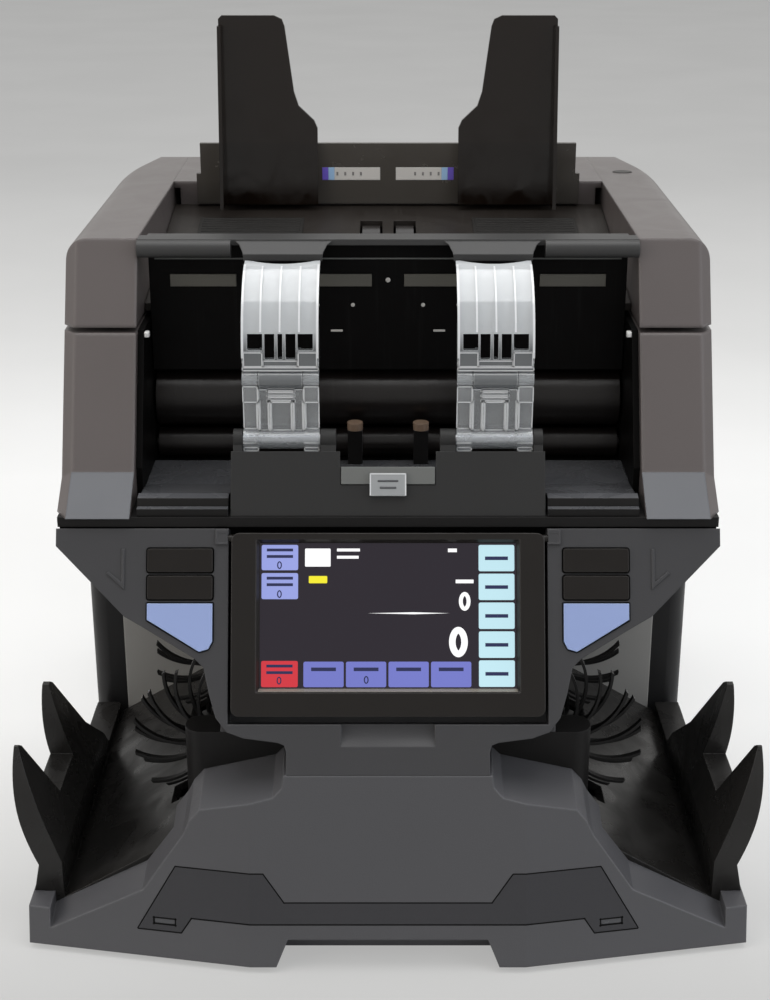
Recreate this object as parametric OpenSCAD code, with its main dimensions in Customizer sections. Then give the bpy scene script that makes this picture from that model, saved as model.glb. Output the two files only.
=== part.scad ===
// Banknote sorter with a top hopper, a reject pocket behind two clear arms,
// a tilting touch display between two key wings, and two side stacker pockets.
// Lengths are in millimetres, +Z is up, +Y points to the back, X = 0 is the middle.
// Inside the modules Y = 0 is the front edge of the base; placed() centres the depth.

/* [Overall] */
// Depth from the front edge of the base to the hinge barrels
machine_d = 316; // [312:1:330]
// Height of the flat top of the covers
top_z = 260.6; // [256:0.2:270]
// Width over the side covers
body_w = 256; // [250:1:264]
// Width of the base
base_w = 282; // [278:1:290]
// Clear width of the hopper between the covers
hopper_w = 198; // [192:1:202]
// Wall of the moulded housings
wall = 3; // [2:0.5:4]
// Running gap between pieces that move
gap = 0.3; // [0.2:0.05:0.6]
// Radial play of pins and shafts in their holes
fit = 0.05; // [0.02:0.01:0.1]

/* [Base] */
// Height of the rubber feet
foot_h = 2.5; // [1:0.5:6]
// Radius of the rubber feet
foot_r = 9; // [6:1:12]
// Thickness of the base floor
pan_t = 5.5; // [4:0.5:8]
// Half width of the straight middle of the front
front_half = 53; // [48:1:58]
// Sweep of the front corners behind the middle, in degrees
sweep = 10.3; // [6:0.1:13]
// Lean of the base front, in degrees
front_lean = 15; // [10:1:18]
// Height of the seam between the base front and the display panel
seam_z = 75.3; // [72:0.1:78]
// Rise of the base's upper edges towards the back, in degrees
top_rise = 12; // [8:1:14]
// Depth of the lip in front of each pocket
lip_y = 30; // [28:1:32]
// Thickness of the low side rails
rail_t = 4; // [3:0.5:5]
// Height of the low side rails above the floor
rail_h = 9; // [7:0.5:14]
// Depth of the dark inlay
inlay_t = 1.2; // [0.8:0.1:2]

/* [Stacker pockets] */
// Thickness of a pocket's outer wall and rail, at the floor's outer end
pocket_wall = 12; // [11:0.5:14]
// Half distance between the inner ends of the two pocket floors
floor_in = 62; // [60:1:66]
// Height of the outer end of a pocket floor
floor_z = 14; // [13:0.5:15]
// Slope of a pocket floor, in degrees
floor_slope = 30; // [28:0.5:32]
// Height of the horn tips
horn_z = 77; // [70:1:84]
// Distance between the two horns of a wall
horn_pitch = 60; // [54:1:64]
// Bulge radius of a horn's outer face
horn_bend = 101; // [90:1:120]
// Reach of a horn beyond the base
horn_reach = 5.5; // [4:0.5:7]
// Depth of a horn at its foot
horn_d = 30; // [26:1:34]
// Fall from the horn tips to the edge between them
horn_fall = 32; // [28:1:36]
// Thickness of a horn at its tip
horn_tip_t = 2; // [1.5:0.5:3]
// Width of the pods beside the rear housing
pod_w = 16.5; // [12:0.5:20]
// Depth of the rear wall of the pockets from the front
rear_front_y = 186; // [182:1:190]

/* [Stacker wheels] */
// Radius over the fingers
wheel_r = 33; // [29:0.5:34]
// Width of a wheel's hub
wheel_w = 10; // [8:1:14]
// Width of a finger
finger_w = 2.4; // [1.6:0.2:3.6]
// Number of fingers on a wheel
fingers = 14; // [10:1:18]
// Thickness of a finger
finger_t = 1.2; // [0.8:0.1:1.6]
// Bend radius of a finger
finger_bend = 26; // [24:1:32]
// Radius of the hub
hub_r = 9; // [7:0.5:11]
// Radius of the shafts
shaft_r = 3; // [2.5:0.5:4]
// Half distance between the two wheel shafts
wheel_x = 71; // [69:0.5:73]
// Height of the wheel shafts
wheel_z = 66; // [63:0.5:68]
// Distance of the front wheel from the base front
wheel_y = 70; // [66:1:74]
// Distance between the two wheels of a shaft
wheel_pitch = 72; // [60:1:84]

/* [Display panel] */
// Lean of the display panel, in degrees
panel_lean = 25; // [22:0.5:27]
// Height of the display's middle
display_z = 131; // [129:0.5:133]
// Thickness of the panel
panel_t = 4; // [3:0.5:5]
// Width of the display unit
display_w = 120; // [114:1:121]
// Height of the display unit below the panel's middle
display_low = 39; // [36:0.5:40]
// Height of the display unit above the panel's middle
display_high = 31; // [29:0.5:31]
// Width of the screen window
screen_w = 98; // [90:1:102]
// Height of the screen window
screen_h = 55.5; // [50:0.5:58]
// Depth of the display unit
display_t = 9; // [7:0.5:9.5]
// Depth of the well behind the display
well_d = 14; // [13:0.5:15]

/* [Keys] */
// Width of a key
key_w = 25; // [20:0.5:27]
// Distance of the inner edge of the keys from the middle
key_x = 67.2; // [66:0.2:70]
// Height of a black key
key_h = 9; // [7:0.2:9.2]
// Distance between the keys
key_pitch = 10.4; // [10:0.1:12]
// Stroke of a key
key_stroke = 1.2; // [0.8:0.1:1.5]
// Height of a key face over the panel
key_proud = 0.8; // [0.4:0.1:1.5]

/* [Covers] */
// Lean of the side covers' front, in degrees
cover_lean = 26.6; // [24:0.2:28]
// Height of the sloping strip at the foot of a lower cover
strip_h = 12.3; // [10:0.1:14]
// Lean of that strip, in degrees
strip_lean = 56.4; // [50:0.2:60]
// Bevel of the covers' outer front edge
edge_bevel = 4.5; // [3:0.5:6]
// Corner radius of the covers' outer top edge
top_r = 9; // [6:0.5:12]
// Height of the split between the upper and lower covers
split_z = 227.5; // [226:0.5:229]
// Width of the split
split_w = 2; // [1:0.2:3]

/* [Reject pocket] */
// Radius of the upper roller
upper_roll_r = 12; // [10:0.5:12]
// Radius of the lower roller
lower_roll_r = 6; // [5:0.25:6]
// Distance of the rollers from the base front
roll_y = 133; // [132:0.5:135]
// Thickness of the inner side plates
plate_t = 2.5; // [2:0.25:3]
// Height of the middle plate on the display panel's plane
centre_h = 25; // [23:0.5:27]
// Half width of the middle plate
centre_half = 60.5; // [59:0.5:62]

/* [Clear arms] */
// Distance of an arm's inner side from the middle
arm_x = 26.5; // [25:0.5:28]
// Width of an arm
arm_w = 29.5; // [27:0.5:31]
// Thickness of an arm
arm_t = 2.2; // [1.8:0.2:3]
// Bend radius of the upper arm
arm_bend = 33.5; // [32:0.5:34.5]
// Angle that the upper arm sweeps, in degrees
arm_sweep = 82; // [74:1:84]
// Height of the lower arm between its two pivots
arm_link = 24; // [22:0.5:24.5]
// Radius of the arm pivots
arm_pin_r = 2; // [1.5:0.1:2.4]

/* [Hopper] */
// Height of the note guides' top
guide_top = 334.6; // [318:0.2:345]
// Width of a note guide at its foot
guide_w = 44; // [36:1:46]
// Distance of a note guide's outer side from the middle
guide_x = 76; // [72:0.5:78]
// Lean of the note guides, in degrees
guide_lean = 6; // [4:0.5:8]
// Thickness of the note guides
guide_t = 2.2; // [1.8:0.2:3]
// Half width of the bar that carries the guides
bar_half = 86; // [84:0.5:92]
// Height of that bar
bar_h = 27.5; // [24:0.5:32]
// Distance of the hopper's rear wall from the base front
deck_y = 240; // [236:1:246]
// Radius of the pick-up wheels
pick_r = 9; // [8:0.5:10]

/* [Hinge and back] */
// Radius of the hinge barrels
barrel_r = 4; // [3.5:0.25:5]
// Radius of the hinge pins
pin_r = 2; // [1.5:0.25:2.25]
// Width of the vent slots
vent_w = 3; // [2:0.5:4]

/* [Inner parts] */
// Height of the power supply
supply_h = 46; // [40:1:50]
// Height of the main board above the housing's floor
board_rise = 62; // [58:1:70]
// Diameter of the drive motor
motor_d = 24; // [20:1:24]
// Length of the drive motor
motor_l = 58; // [50:1:60]

/* [Hidden] */
$fn = 64;
big = 600;
case_grey = [0.33, 0.33, 0.34];
cover_grey = [0.42, 0.41, 0.40];
panel_grey = [0.25, 0.25, 0.26];
inlay_grey = [0.26, 0.26, 0.27];
black = [0.06, 0.06, 0.06];
soft_black = [0.09, 0.09, 0.09];
clear_tint = [0.86, 0.89, 0.91, 0.5];
smoke = [0.15, 0.11, 0.09, 0.8];
key_blue = [0.58, 0.64, 0.82];
pale_grey = [0.62, 0.61, 0.57];
steel = [0.7, 0.7, 0.72];

pan_z = foot_h + pan_t;
half_body = body_w / 2;
half_base = base_w / 2;
floor_out = half_base - pocket_wall;
half_hopper = hopper_w / 2;
hinge_y = machine_d - barrel_r;
rear_y = hinge_y - barrel_r - 2;
panel_back_t = 3;
hinge_z = split_z;

// Base front, display panel and covers follow one another up the front
seam_y = (seam_z - foot_h) * tan(front_lean);
panel_y = seam_y + (display_z - seam_z) * tan(panel_lean);
function panel_front(z) = panel_y + (z - display_z) * tan(panel_lean);
belly_z = display_z + 30;
belly_t = 4;
belly_y = panel_front(belly_z) + 0.6;
panel_top = (belly_z - gap - display_z) / cos(panel_lean);
cover_z = belly_z + belly_t;
cover_proud = 3.3;
strip_y = panel_front(cover_z) - cover_proud + strip_h * tan(strip_lean);
function cover_front(z) = strip_y + (z - cover_z - strip_h) * tan(cover_lean);
split_low = split_z - split_w / 2;
split_high = split_z + split_w / 2;
inner_half = half_hopper - plate_t;

// Stacker column and core
column_y = lip_y + 12;
column_t = 14;
column_half = wheel_x + 9;
column_top = seam_z + 6.5;
core_half = wheel_x - wheel_r - 3;
bearing_r = shaft_r + fit;
rear_half = half_base + 1 - pod_w;
lip_in = column_half + 4;

// Reject pocket
upper_roll_z = cover_z + 2 * lower_roll_r + upper_roll_r + 1.9;
lower_roll_z = cover_z + lower_roll_r + 1;
journal_r = 2.5;
tray_end = roll_y - 15;
apron_y = roll_y - 9;
apron_z = upper_roll_z + upper_roll_r + 2;
rail_y = cover_front(top_z);
tab_y = rail_y - 8.2;

// Arms stand behind the middle plate and lean up to the hopper's front bar
centre_top = display_z + (cover_z - display_z) + centre_h * cos(panel_lean);
arm_y = panel_front(centre_top) + 7.5;
arm_z = centre_top + 2.3;
knuckle_r = arm_pin_r + 2.2;
elbow_y = arm_y + 1.5;
elbow_z = arm_z + arm_link;
elbow_r = 1.5;
elbow_knuckle = 3.4;
elbow_ear = 6;
head_z = elbow_z + elbow_knuckle + gap;
bend_z = head_z + 3;
window_z = bend_z + 5;
window_h = 6;

// Hopper
bed_low = split_high + 3.5;
bed_rise = 18;
bed_t = 3;
bed_y = apron_y + panel_back_t;
function bed_z(y) = bed_low + (y - bed_y) * bed_rise / (deck_y - bed_y);
pick_y = deck_y - 31;
pick_z = bed_z(pick_y) + 1.2 - pick_r;
pick_x = 7.5;
pick_w = 8;
bar_t = 3;
bar_z = bed_low + bed_rise + 1;
guide_back = deck_y - bar_t - gap - bar_h * tan(guide_lean);
guide_z = bar_z + 0.5;

// Transport bed under the hopper unit
bed_top = apron_z - 4;
feed_r = 9;
feed_z = bed_top + 2 - feed_r;
feed_ys = [roll_y + 42, deck_y + 20];

// Shared helpers
module placed() {
    translate([0, -machine_d / 2, 0]) children();
}

// Left pieces are drawn on the -X side; the right ones are their mirror image
module on_side(s) {
    if (s < 0) children();
    else mirror([1, 0, 0]) children();
}

module block(x0, x1, y0, y1, z0, z1) {
    translate([x0, y0, z0]) cube([x1 - x0, y1 - y0, z1 - z0]);
}

module rod_x(x0, x1, y, z, r) {
    translate([x0, y, z]) rotate([0, 90, 0]) cylinder(r = r, h = x1 - x0);
}

module rod_y(y0, y1, x, z, r) {
    translate([x, y1, z]) rotate([90, 0, 0]) cylinder(r = r, h = y1 - y0);
}

// Profile in Y and Z drawn out along X
module along_x(x0, x1) {
    translate([x0, 0, 0]) rotate([90, 0, 90]) linear_extrude(x1 - x0) children();
}

// Profile in X and Z drawn out along Y
module along_y(y0, y1) {
    translate([0, y1, 0]) rotate([90, 0, 0]) linear_extrude(y1 - y0) children();
}

// The display panel's plane: x across, y up the slope, z out of the panel
module on_panel() {
    translate([0, panel_y, display_z]) rotate([90 - panel_lean, 0, 0]) children();
}

module on_panel_block(x0, x1, s0, s1, z0, z1) {
    translate([x0, s0, z0]) cube([x1 - x0, s1 - s0, z1 - z0]);
}

module round_rect(x0, x1, y0, y1, r) {
    translate([x0 + r, y0]) square([x1 - x0 - 2 * r, y1 - y0]);
    translate([x0, y0 + r]) square([x1 - x0, y1 - y0 - 2 * r]);
    for (x = [x0 + r, x1 - r], y = [y0 + r, y1 - r])
        translate([x, y]) circle(r = r);
}

function mirrored(half) = concat(half, [for (i = [len(half) - 1:-1:0]) [-half[i].x, half[i].y]]);

// Everything behind a plane that leans back by a and turns by b
module half_space(a, b) {
    rotate([a, 0, b]) translate([-big, 0, -big]) cube([2 * big, big, 2 * big]);
}

module swept_space(s, inset) {
    translate([s * front_half, inset, foot_h]) half_space(-atan(tan(front_lean) * cos(sweep)), s * sweep);
}

module behind_front(inset) {
    intersection() {
        translate([0, inset, foot_h]) half_space(-front_lean, 0);
        swept_space(-1, inset);
        swept_space(1, inset);
    }
}

// Base
module front_outline() {
    polygon(mirrored([
        [0, seam_z], [39, seam_z], [40.5, seam_z - 10], [44, seam_z - 13.5],
        [72.5, seam_z - 20], [76.5, seam_z - 24.5], [79, seam_z - 29.5],
        [95, seam_z - 51], [half_base + 4, seam_z - 76], [half_base + 4, -big / 4]
    ]));
}

module inlay_outline() {
    polygon(mirrored([[0, 27], [40, 27], [48, 38], [82, 38], [97, 13], [80, 13], [76, 19], [0, 19]]));
}

module front_wall() {
    intersection() {
        rotate([top_rise, 0, 0]) along_y(-big / 4, big / 4) front_outline();
        behind_front(0);
        union() {
            block(-lip_in, lip_in, 0, column_y, foot_h, seam_z);
            block(-half_base, half_base, 0, lip_y, foot_h, seam_z);
        }
    }
}

module base_rails() {
    for (s = [-1, 1])
        on_side(s) {
            block(-half_base, -half_base + rail_t, 0, rear_front_y, foot_h, pan_z + rail_h);
            block(-half_base, -half_base + 8.6, 0, lip_y, foot_h, pan_z + rail_h);
        }
}

module base_pan() {
    color(case_grey) placed() difference() {
        union() {
            front_wall();
            intersection() {
                union() {
                    block(-half_base, half_base, 0, rear_y, foot_h, pan_z);
                    base_rails();
                }
                behind_front(0);
            }
        }
        along_y(-1, column_y / 3) polygon(mirrored([[0, 13], [38.5, 13], [44, 0], [0, 0]]));
        difference() {
            along_y(-5, column_y) inlay_outline();
            behind_front(inlay_t);
        }
    }
}

module front_inlay() {
    color(inlay_grey) placed() difference() {
        intersection() {
            along_y(-5, column_y) inlay_outline();
            behind_front(0);
        }
        behind_front(inlay_t);
        for (s = [-1, 1])
            on_side(s) block(-91, -82, 0, column_y, 15.2, 18);
    }
}

module feet() {
    color(black) placed() for (x = [-half_base + 41, half_base - 41], y = [44, rear_y - 20])
        translate([x, y, 0]) cylinder(r = foot_r, h = foot_h);
}

// Stacker pocket: sloping floor and an outer wall with two horns
floor_t = wall / cos(floor_slope);
floor_top = floor_z + (floor_out - floor_in) * tan(floor_slope);
rail_top = pan_z + rail_h;
horn_out = half_base + horn_reach;
horn_foot = rail_top + 12;

module tray_floor() {
    polygon([
        [-floor_out, floor_z], [-floor_in, floor_top],
        [-floor_in, floor_top - floor_t], [-floor_out, floor_z - floor_t]
    ]);
}

// Across the wall: a bulged outer face over a flared foot
module tray_wall() {
    rail_in = half_base - rail_t - gap;
    polygon([
        [-floor_out, floor_z - floor_t], [-floor_out, horn_foot + 1], [-half_base + 3, horn_foot + 1],
        [-half_base + 0.5, rail_top + gap], [-rail_in, rail_top + gap], [-rail_in, floor_z - floor_t]
    ]);
    intersection() {
        translate([-horn_out + horn_bend, horn_z - 8]) circle(r = horn_bend);
        polygon([
            [-floor_out, horn_foot - 1], [-floor_out, horn_foot + 1], [-horn_out + horn_tip_t, horn_z],
            [-horn_out - 1, horn_z], [-horn_out - 1, horn_foot - 1]
        ]);
    }
}

// Side view of a horn: a bowed front edge, a narrow tip and a straight back edge
module horn(y, tip, back) {
    bow = 60;
    crest = horn_z - horn_fall;
    translate([y, 0]) intersection() {
        union() {
            translate([bow, crest]) circle(r = bow);
            square([bow, crest]);
        }
        polygon([
            [-1, 0], [-1, tip], [10.4, tip], [12.8, tip - 1.6], [horn_d, crest - 1],
            [back, rail_top], [back, 0]
        ]);
    }
}

module horn_outline() {
    second = lip_y + horn_pitch;
    horn(lip_y, horn_z, horn_d + 1);
    horn(second, horn_z - 3, horn_d + 30);
    translate([lip_y + 2, 0]) square([horn_pitch, horn_z - horn_fall]);
    translate([lip_y + 2, 0]) square([rear_front_y - lip_y - 2, rail_top + 2]);
}

module pocket_tray(s) {
    color(black) placed() on_side(s) difference() {
        union() {
            along_y(lip_y, rear_front_y) tray_floor();
            intersection() {
                along_y(lip_y, rear_front_y) tray_wall();
                along_x(-horn_out - 2, -floor_out + 1) horn_outline();
            }
        }
        block(-lip_in - 1, 0, 0, column_y + column_t + gap, 0, big);
        for (y = [wheel_y, wheel_y + wheel_pitch])
            rod_y(y - wheel_w / 2 - 2, y + wheel_w / 2 + 2, -wheel_x, wheel_z, wheel_r + 1.5);
    }
}

// Rear housing, open at the back, with the bearings of the wheel shafts in its front wall
module rear_housing() {
    color(case_grey) placed() difference() {
        block(-rear_half, rear_half, rear_front_y, rear_y, pan_z, belly_z);
        block(-rear_half + wall, rear_half - wall, rear_front_y + wall, rear_y + 1, pan_z + wall, belly_z - wall);
        for (x = [-wheel_x, wheel_x])
            rod_y(rear_front_y - 1, rear_front_y + wall + 1, x, wheel_z, bearing_r);
    }
}

module side_pods() {
    r = 8;
    out = rear_half + pod_w;
    color(soft_black) placed() translate([0, 0, pan_z]) linear_extrude(belly_z - pan_z - 3) difference() {
        round_rect(-out, out, rear_front_y + 4, rear_y - 6, r);
        translate([-rear_half, 0]) square([2 * rear_half, big]);
    }
}

// Column behind the base front and the core between the two pockets
module transport_frame() {
    core_slope = panel_front(belly_z) + well_d / cos(panel_lean) + 0.2;
    core_front = column_y + column_t;
    knee = display_z + (core_front - panel_y - well_d / cos(panel_lean) - 0.2) / tan(panel_lean);
    color(soft_black) placed() difference() {
        union() {
            translate([0, 0, pan_z]) linear_extrude(column_top - pan_z)
                round_rect(-column_half, column_half, column_y, column_y + column_t, 6.5);
            along_x(-core_half, core_half) polygon([
                [core_front - 1, pan_z], [core_front - 1, column_top - 1], [core_front, column_top - 1],
                [core_front, knee], [core_slope, belly_z], [rear_front_y, belly_z], [rear_front_y, pan_z]
            ]);
        }
        for (x = [-wheel_x, wheel_x])
            rod_y(column_y + wall, column_y + column_t + 1, x, wheel_z, bearing_r);
    }
}

// Display panel with its two key wings
module wing_outline() {
    polygon(mirrored([
        [0, panel_top], [half_body - 0.5, panel_top], [half_body - 0.5, 26], [101, -1], [94, -5],
        [74, -17], [70.5, -20.5], [68.5, -30], [65.8, -39.5], [61.5, -45], [55, -47.3],
        [42, -49], [39.6, -50], [38.8, -52.5], [38.8, -70], [0, -70]
    ]));
}

well_half = display_w / 2 + 1.2;
well_low = -display_low - 3;
scoop_r = 12;

module start_key_outline(grow) {
    low = -2.2 - grow;
    polygon([
        [-key_x - key_w - grow, 4 + grow], [-key_x + grow, 4 + grow], [-key_x + grow, -10.5],
        [-key_x - 1.5, -13.4 - grow], [-key_x - 5, -14.4 - grow], [-key_x - key_w - grow, low]
    ]);
}

module key_outline(row, grow) {
    low = 25 - key_pitch * row - key_h;
    if (row < 2)
        round_rect(-key_x - key_w - grow, -key_x + grow, low - grow, low + key_h + grow, 0.8 + grow);
    else
        start_key_outline(grow);
}

module wing_panel() {
    color(panel_grey) placed() difference() {
        on_panel() difference() {
            union() {
                translate([0, 0, -panel_t]) linear_extrude(panel_t) wing_outline();
                on_panel_block(-well_half - wall, well_half + wall, well_low - wall, panel_top, -well_d, -panel_t);
            }
            on_panel_block(-well_half, well_half, well_low, panel_top + 1, -well_d + wall, 1);
            for (s = [-1, 1], row = [0:2])
                on_side(s) translate([0, 0, -panel_t - 1]) linear_extrude(panel_t + 2) key_outline(row, gap);
            rod_x(-18, 18, well_low - 0.5, scoop_r - 3, scoop_r);
            rod_x(-well_half - wall - 1, well_half + wall + 1, display_high - 2, -1, 1.5 + fit * 2);
        }
        block(-half_body, half_body, 0, machine_d, 0, seam_z);
    }
}

// Boards behind the keys, each a shallow tray against the panel's back
module key_modules() {
    color(soft_black) placed() on_panel() for (s = [-1, 1])
        on_side(s) difference() {
            intersection() {
                on_panel_block(-key_x - key_w - 3, -well_half - wall, -17.5, 28, -panel_t - 6.5, -panel_t);
                translate([0, 0, -big / 2]) linear_extrude(big) wing_outline();
            }
            intersection() {
                on_panel_block(-key_x - key_w - 1.5, -well_half - wall - 1, -16.2, 26.7, -panel_t - 5, 0);
                translate([0, 1.6, -big / 2]) linear_extrude(big) wing_outline();
            }
        }
}

module key(s, row, tint) {
    flange = 0.6;
    color(tint) placed() on_panel() on_side(s) {
        translate([0, 0, -panel_t - gap - 1]) linear_extrude(panel_t + gap + 1 + key_proud) key_outline(row, 0);
        translate([0, 0, -panel_t - gap - 1]) linear_extrude(1) key_outline(row, flange);
    }
}

// Tilting display unit with a window that flares to the front
module flared(half) {
    polygon([[-half, -3], [half, -3], [half, -1.2], [half + 2.2, 2], [-half - 2.2, 2], [-half, -1.2]]);
}

module display_bezel() {
    half = display_w / 2;
    front = 1;
    color(black) placed() on_panel() {
        difference() {
            translate([0, 0, front - display_t]) linear_extrude(display_t)
                round_rect(-half, half, -display_low, display_high, 3);
            on_panel_block(-half + 3, half - 3, -display_low + 3, display_high - 3, front - display_t + 1, -1);
            translate([0, -0.7, 0]) intersection() {
                rotate([90, 0, 0]) linear_extrude(big, center = true) flared(screen_w / 2);
                rotate([90, 0, 90]) linear_extrude(big, center = true) flared(screen_h / 2);
            }
        }
        for (s = [-1, 1])
            rod_x(s > 0 ? half - 1 : -half - 3, s > 0 ? half + 3 : -half + 1, display_high - 2, -1, 1.5);
    }
}

module lcd_panel() {
    color([0.1, 0.09, 0.13]) placed() on_panel()
        on_panel_block(-display_w / 2 + 3, display_w / 2 - 3, -display_low + 3, display_high - 3.6, -7, -1);
}

// Body over the pockets
module belly_plate() {
    color(black) placed() block(-half_body + 1, half_body - 1, belly_y, rear_y, belly_z, cover_z);
}

module front_edge_cut(y, z, lean) {
    translate([-half_body, y, z]) rotate([-lean, 0, 0]) rotate([0, 0, -45])
        translate([-big, edge_bevel / sqrt(2), -big]) cube([2 * big, 2 * big, 2 * big]);
}

module cover_profile(z0, z1) {
    polygon([
        [cover_front(z0), z0], [cover_front(z1), z1], [rear_y, z1], [rear_y, z0]
    ]);
}

module lower_cover(s) {
    knee = cover_z + strip_h;
    foot_y = strip_y - strip_h * tan(strip_lean);
    reach = 1.3;
    peak_y = foot_y + reach * (strip_y - foot_y);
    color(cover_grey) placed() on_side(s) {
        intersection() {
            along_x(-half_body, -half_hopper) cover_profile(cover_z, split_low);
            front_edge_cut(strip_y, knee, cover_lean);
        }
        intersection() {
            along_x(-half_body, -half_hopper)
                polygon([[foot_y, cover_z], [peak_y, cover_z + reach * strip_h], [peak_y, cover_z]]);
            front_edge_cut(strip_y, knee, strip_lean);
        }
        block(-half_hopper - 14, -half_hopper - 7, rail_y + 2, rail_y + 9, split_low - 1, split_high - 0.2);
    }
}

module upper_cover(s) {
    taper = atan(15 / (rear_y - deck_y));
    color(cover_grey) placed() on_side(s) difference() {
        intersection() {
            along_x(-half_body, -half_hopper) cover_profile(split_high, top_z);
            front_edge_cut(cover_front(split_high), split_high, cover_lean);
            along_y(0, machine_d) union() {
                translate([-half_body, 0]) square([body_w, top_z - top_r]);
                translate([-half_body + top_r, 0]) square([body_w, top_z]);
                translate([-half_body + top_r, top_z - top_r]) circle(r = top_r);
            }
            translate([-half_body, deck_y, 0]) rotate([0, 0, -taper])
                translate([0, -big, 0]) cube([big, 2 * big, big]);
        }
        rod_x(-half_hopper - 3, -half_hopper + 1, pick_y, pick_z, shaft_r + fit);
    }
}

module side_plates() {
    set_back = 5;
    color(black) placed() for (s = [-1, 1])
        on_side(s) difference() {
            along_x(-half_hopper, -inner_half) polygon([
                [strip_y + set_back, cover_z], [cover_front(cover_z + strip_h) + set_back, cover_z + strip_h],
                [cover_front(split_low) + set_back, split_low], [rear_y, split_low], [rear_y, cover_z]
            ]);
            rod_x(-half_hopper - 1, -inner_half + 1, roll_y, upper_roll_z, journal_r + fit);
            rod_x(-half_hopper - 1, -inner_half + 1, roll_y - 4, lower_roll_z, journal_r + fit);
            for (y = feed_ys)
                rod_x(-half_hopper - 1, -inner_half + 1, y, feed_z, shaft_r + fit);
        }
}

// Reject pocket
module reject_tray() {
    color(black) placed() difference() {
        union() {
            along_x(-inner_half, inner_half) polygon([
                [belly_y + 1, cover_z], [belly_y + 1, cover_z + 3], [belly_y + 4, cover_z + 3],
                [belly_y + 5, cover_z + 6], [belly_y + 9, cover_z + 6.5], [belly_y + 14, cover_z + 4.5],
                [belly_y + 30, cover_z + 2.5], [tray_end, cover_z + 2.5], [tray_end, cover_z]
            ]);
            for (x = [-13.5, 13.5])
                block(x - 3, x + 3, tray_end - 5, tray_end, cover_z, cover_z + 17);
        }
        block(-centre_half - 1, centre_half + 1, 0, belly_y + 10, 0, big);
    }
}

module sensor_caps() {
    color([0.62, 0.47, 0.38]) placed() for (x = [-13.5, 13.5])
        translate([x, tray_end - 2.5, cover_z + 17]) cylinder(r = 3.2, h = 3);
}

module roller(r, y, z) {
    rod_x(-inner_half + 1, inner_half - 1, y, z, r);
    rod_x(-half_hopper + 0.4, half_hopper - 0.4, y, z, journal_r);
}

module reject_upper_roller() {
    color(soft_black) placed() roller(upper_roll_r, roll_y, upper_roll_z);
}

module reject_lower_roller() {
    color(soft_black) placed() roller(lower_roll_r, roll_y - 4, lower_roll_z);
}

// Middle plate with the lugs of the arm shafts
centre_t = 3;
lug_ins = [arm_x - gap - 6, arm_x + arm_w + gap];
lug_w = [6, 3.6];

module centre_plate() {
    low = (cover_z - display_z) / cos(panel_lean);
    notch = 18.5;
    color(panel_grey) placed() difference() {
        union() {
            on_panel() on_panel_block(-centre_half, centre_half, low - 3, low + centre_h, -centre_t, 0);
            for (s = [-1, 1], i = [0, 1])
                on_side(s) {
                    rod_x(-lug_ins[i] - lug_w[i], -lug_ins[i], arm_y, arm_z, knuckle_r);
                    along_x(-lug_ins[i] - lug_w[i], -lug_ins[i]) polygon([
                        [panel_front(centre_top - 6) + 1.5, centre_top - 6],
                        [panel_front(centre_top) + 1.5, centre_top - 1.5],
                        [arm_y - 2, arm_z + 2.4], [arm_y + 2, arm_z - 2.4]
                    ]);
                }
        }
        block(-big / 2, big / 2, 0, big, 0, cover_z);
        on_panel() on_panel_block(-notch, notch, low + centre_h - 6, low + big / 10, -centre_t - 1, 1);
        on_panel() on_panel_block(-notch + 0.3, notch - 0.3, low + centre_h - 13, low + centre_h - 5, -1, 1);
        for (s = [-1, 1])
            on_side(s) rod_x(-half_body, 0, arm_y, arm_z, arm_pin_r + fit);
    }
}

module sensor_strip() {
    low = (cover_z - display_z) / cos(panel_lean);
    color(pale_grey) placed() on_panel() on_panel_block(-18, 18, low + centre_h - 12.7, low + centre_h - 6, -1, 0.4);
}

module sensor_prism() {
    low = (cover_z - display_z) / cos(panel_lean);
    color(clear_tint) placed() on_panel() translate([-7, low + centre_h - 17.6, 0.4]) union() {
        translate([0, 4.6, 0]) cube([14, 4.4, 1.6]);
        translate([0, 0.4, -0.4]) cube([14, 4.2, 2]);
    }
}

module arm_shafts() {
    color(steel) placed() for (s = [-1, 1])
        on_side(s) rod_x(-lug_ins[1] - lug_w[1], -lug_ins[0], arm_y, arm_z, arm_pin_r);
}

// Clear arms: a flat lower link and a curved upper one that meet at an elbow
arm_out = arm_x + arm_w;

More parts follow.
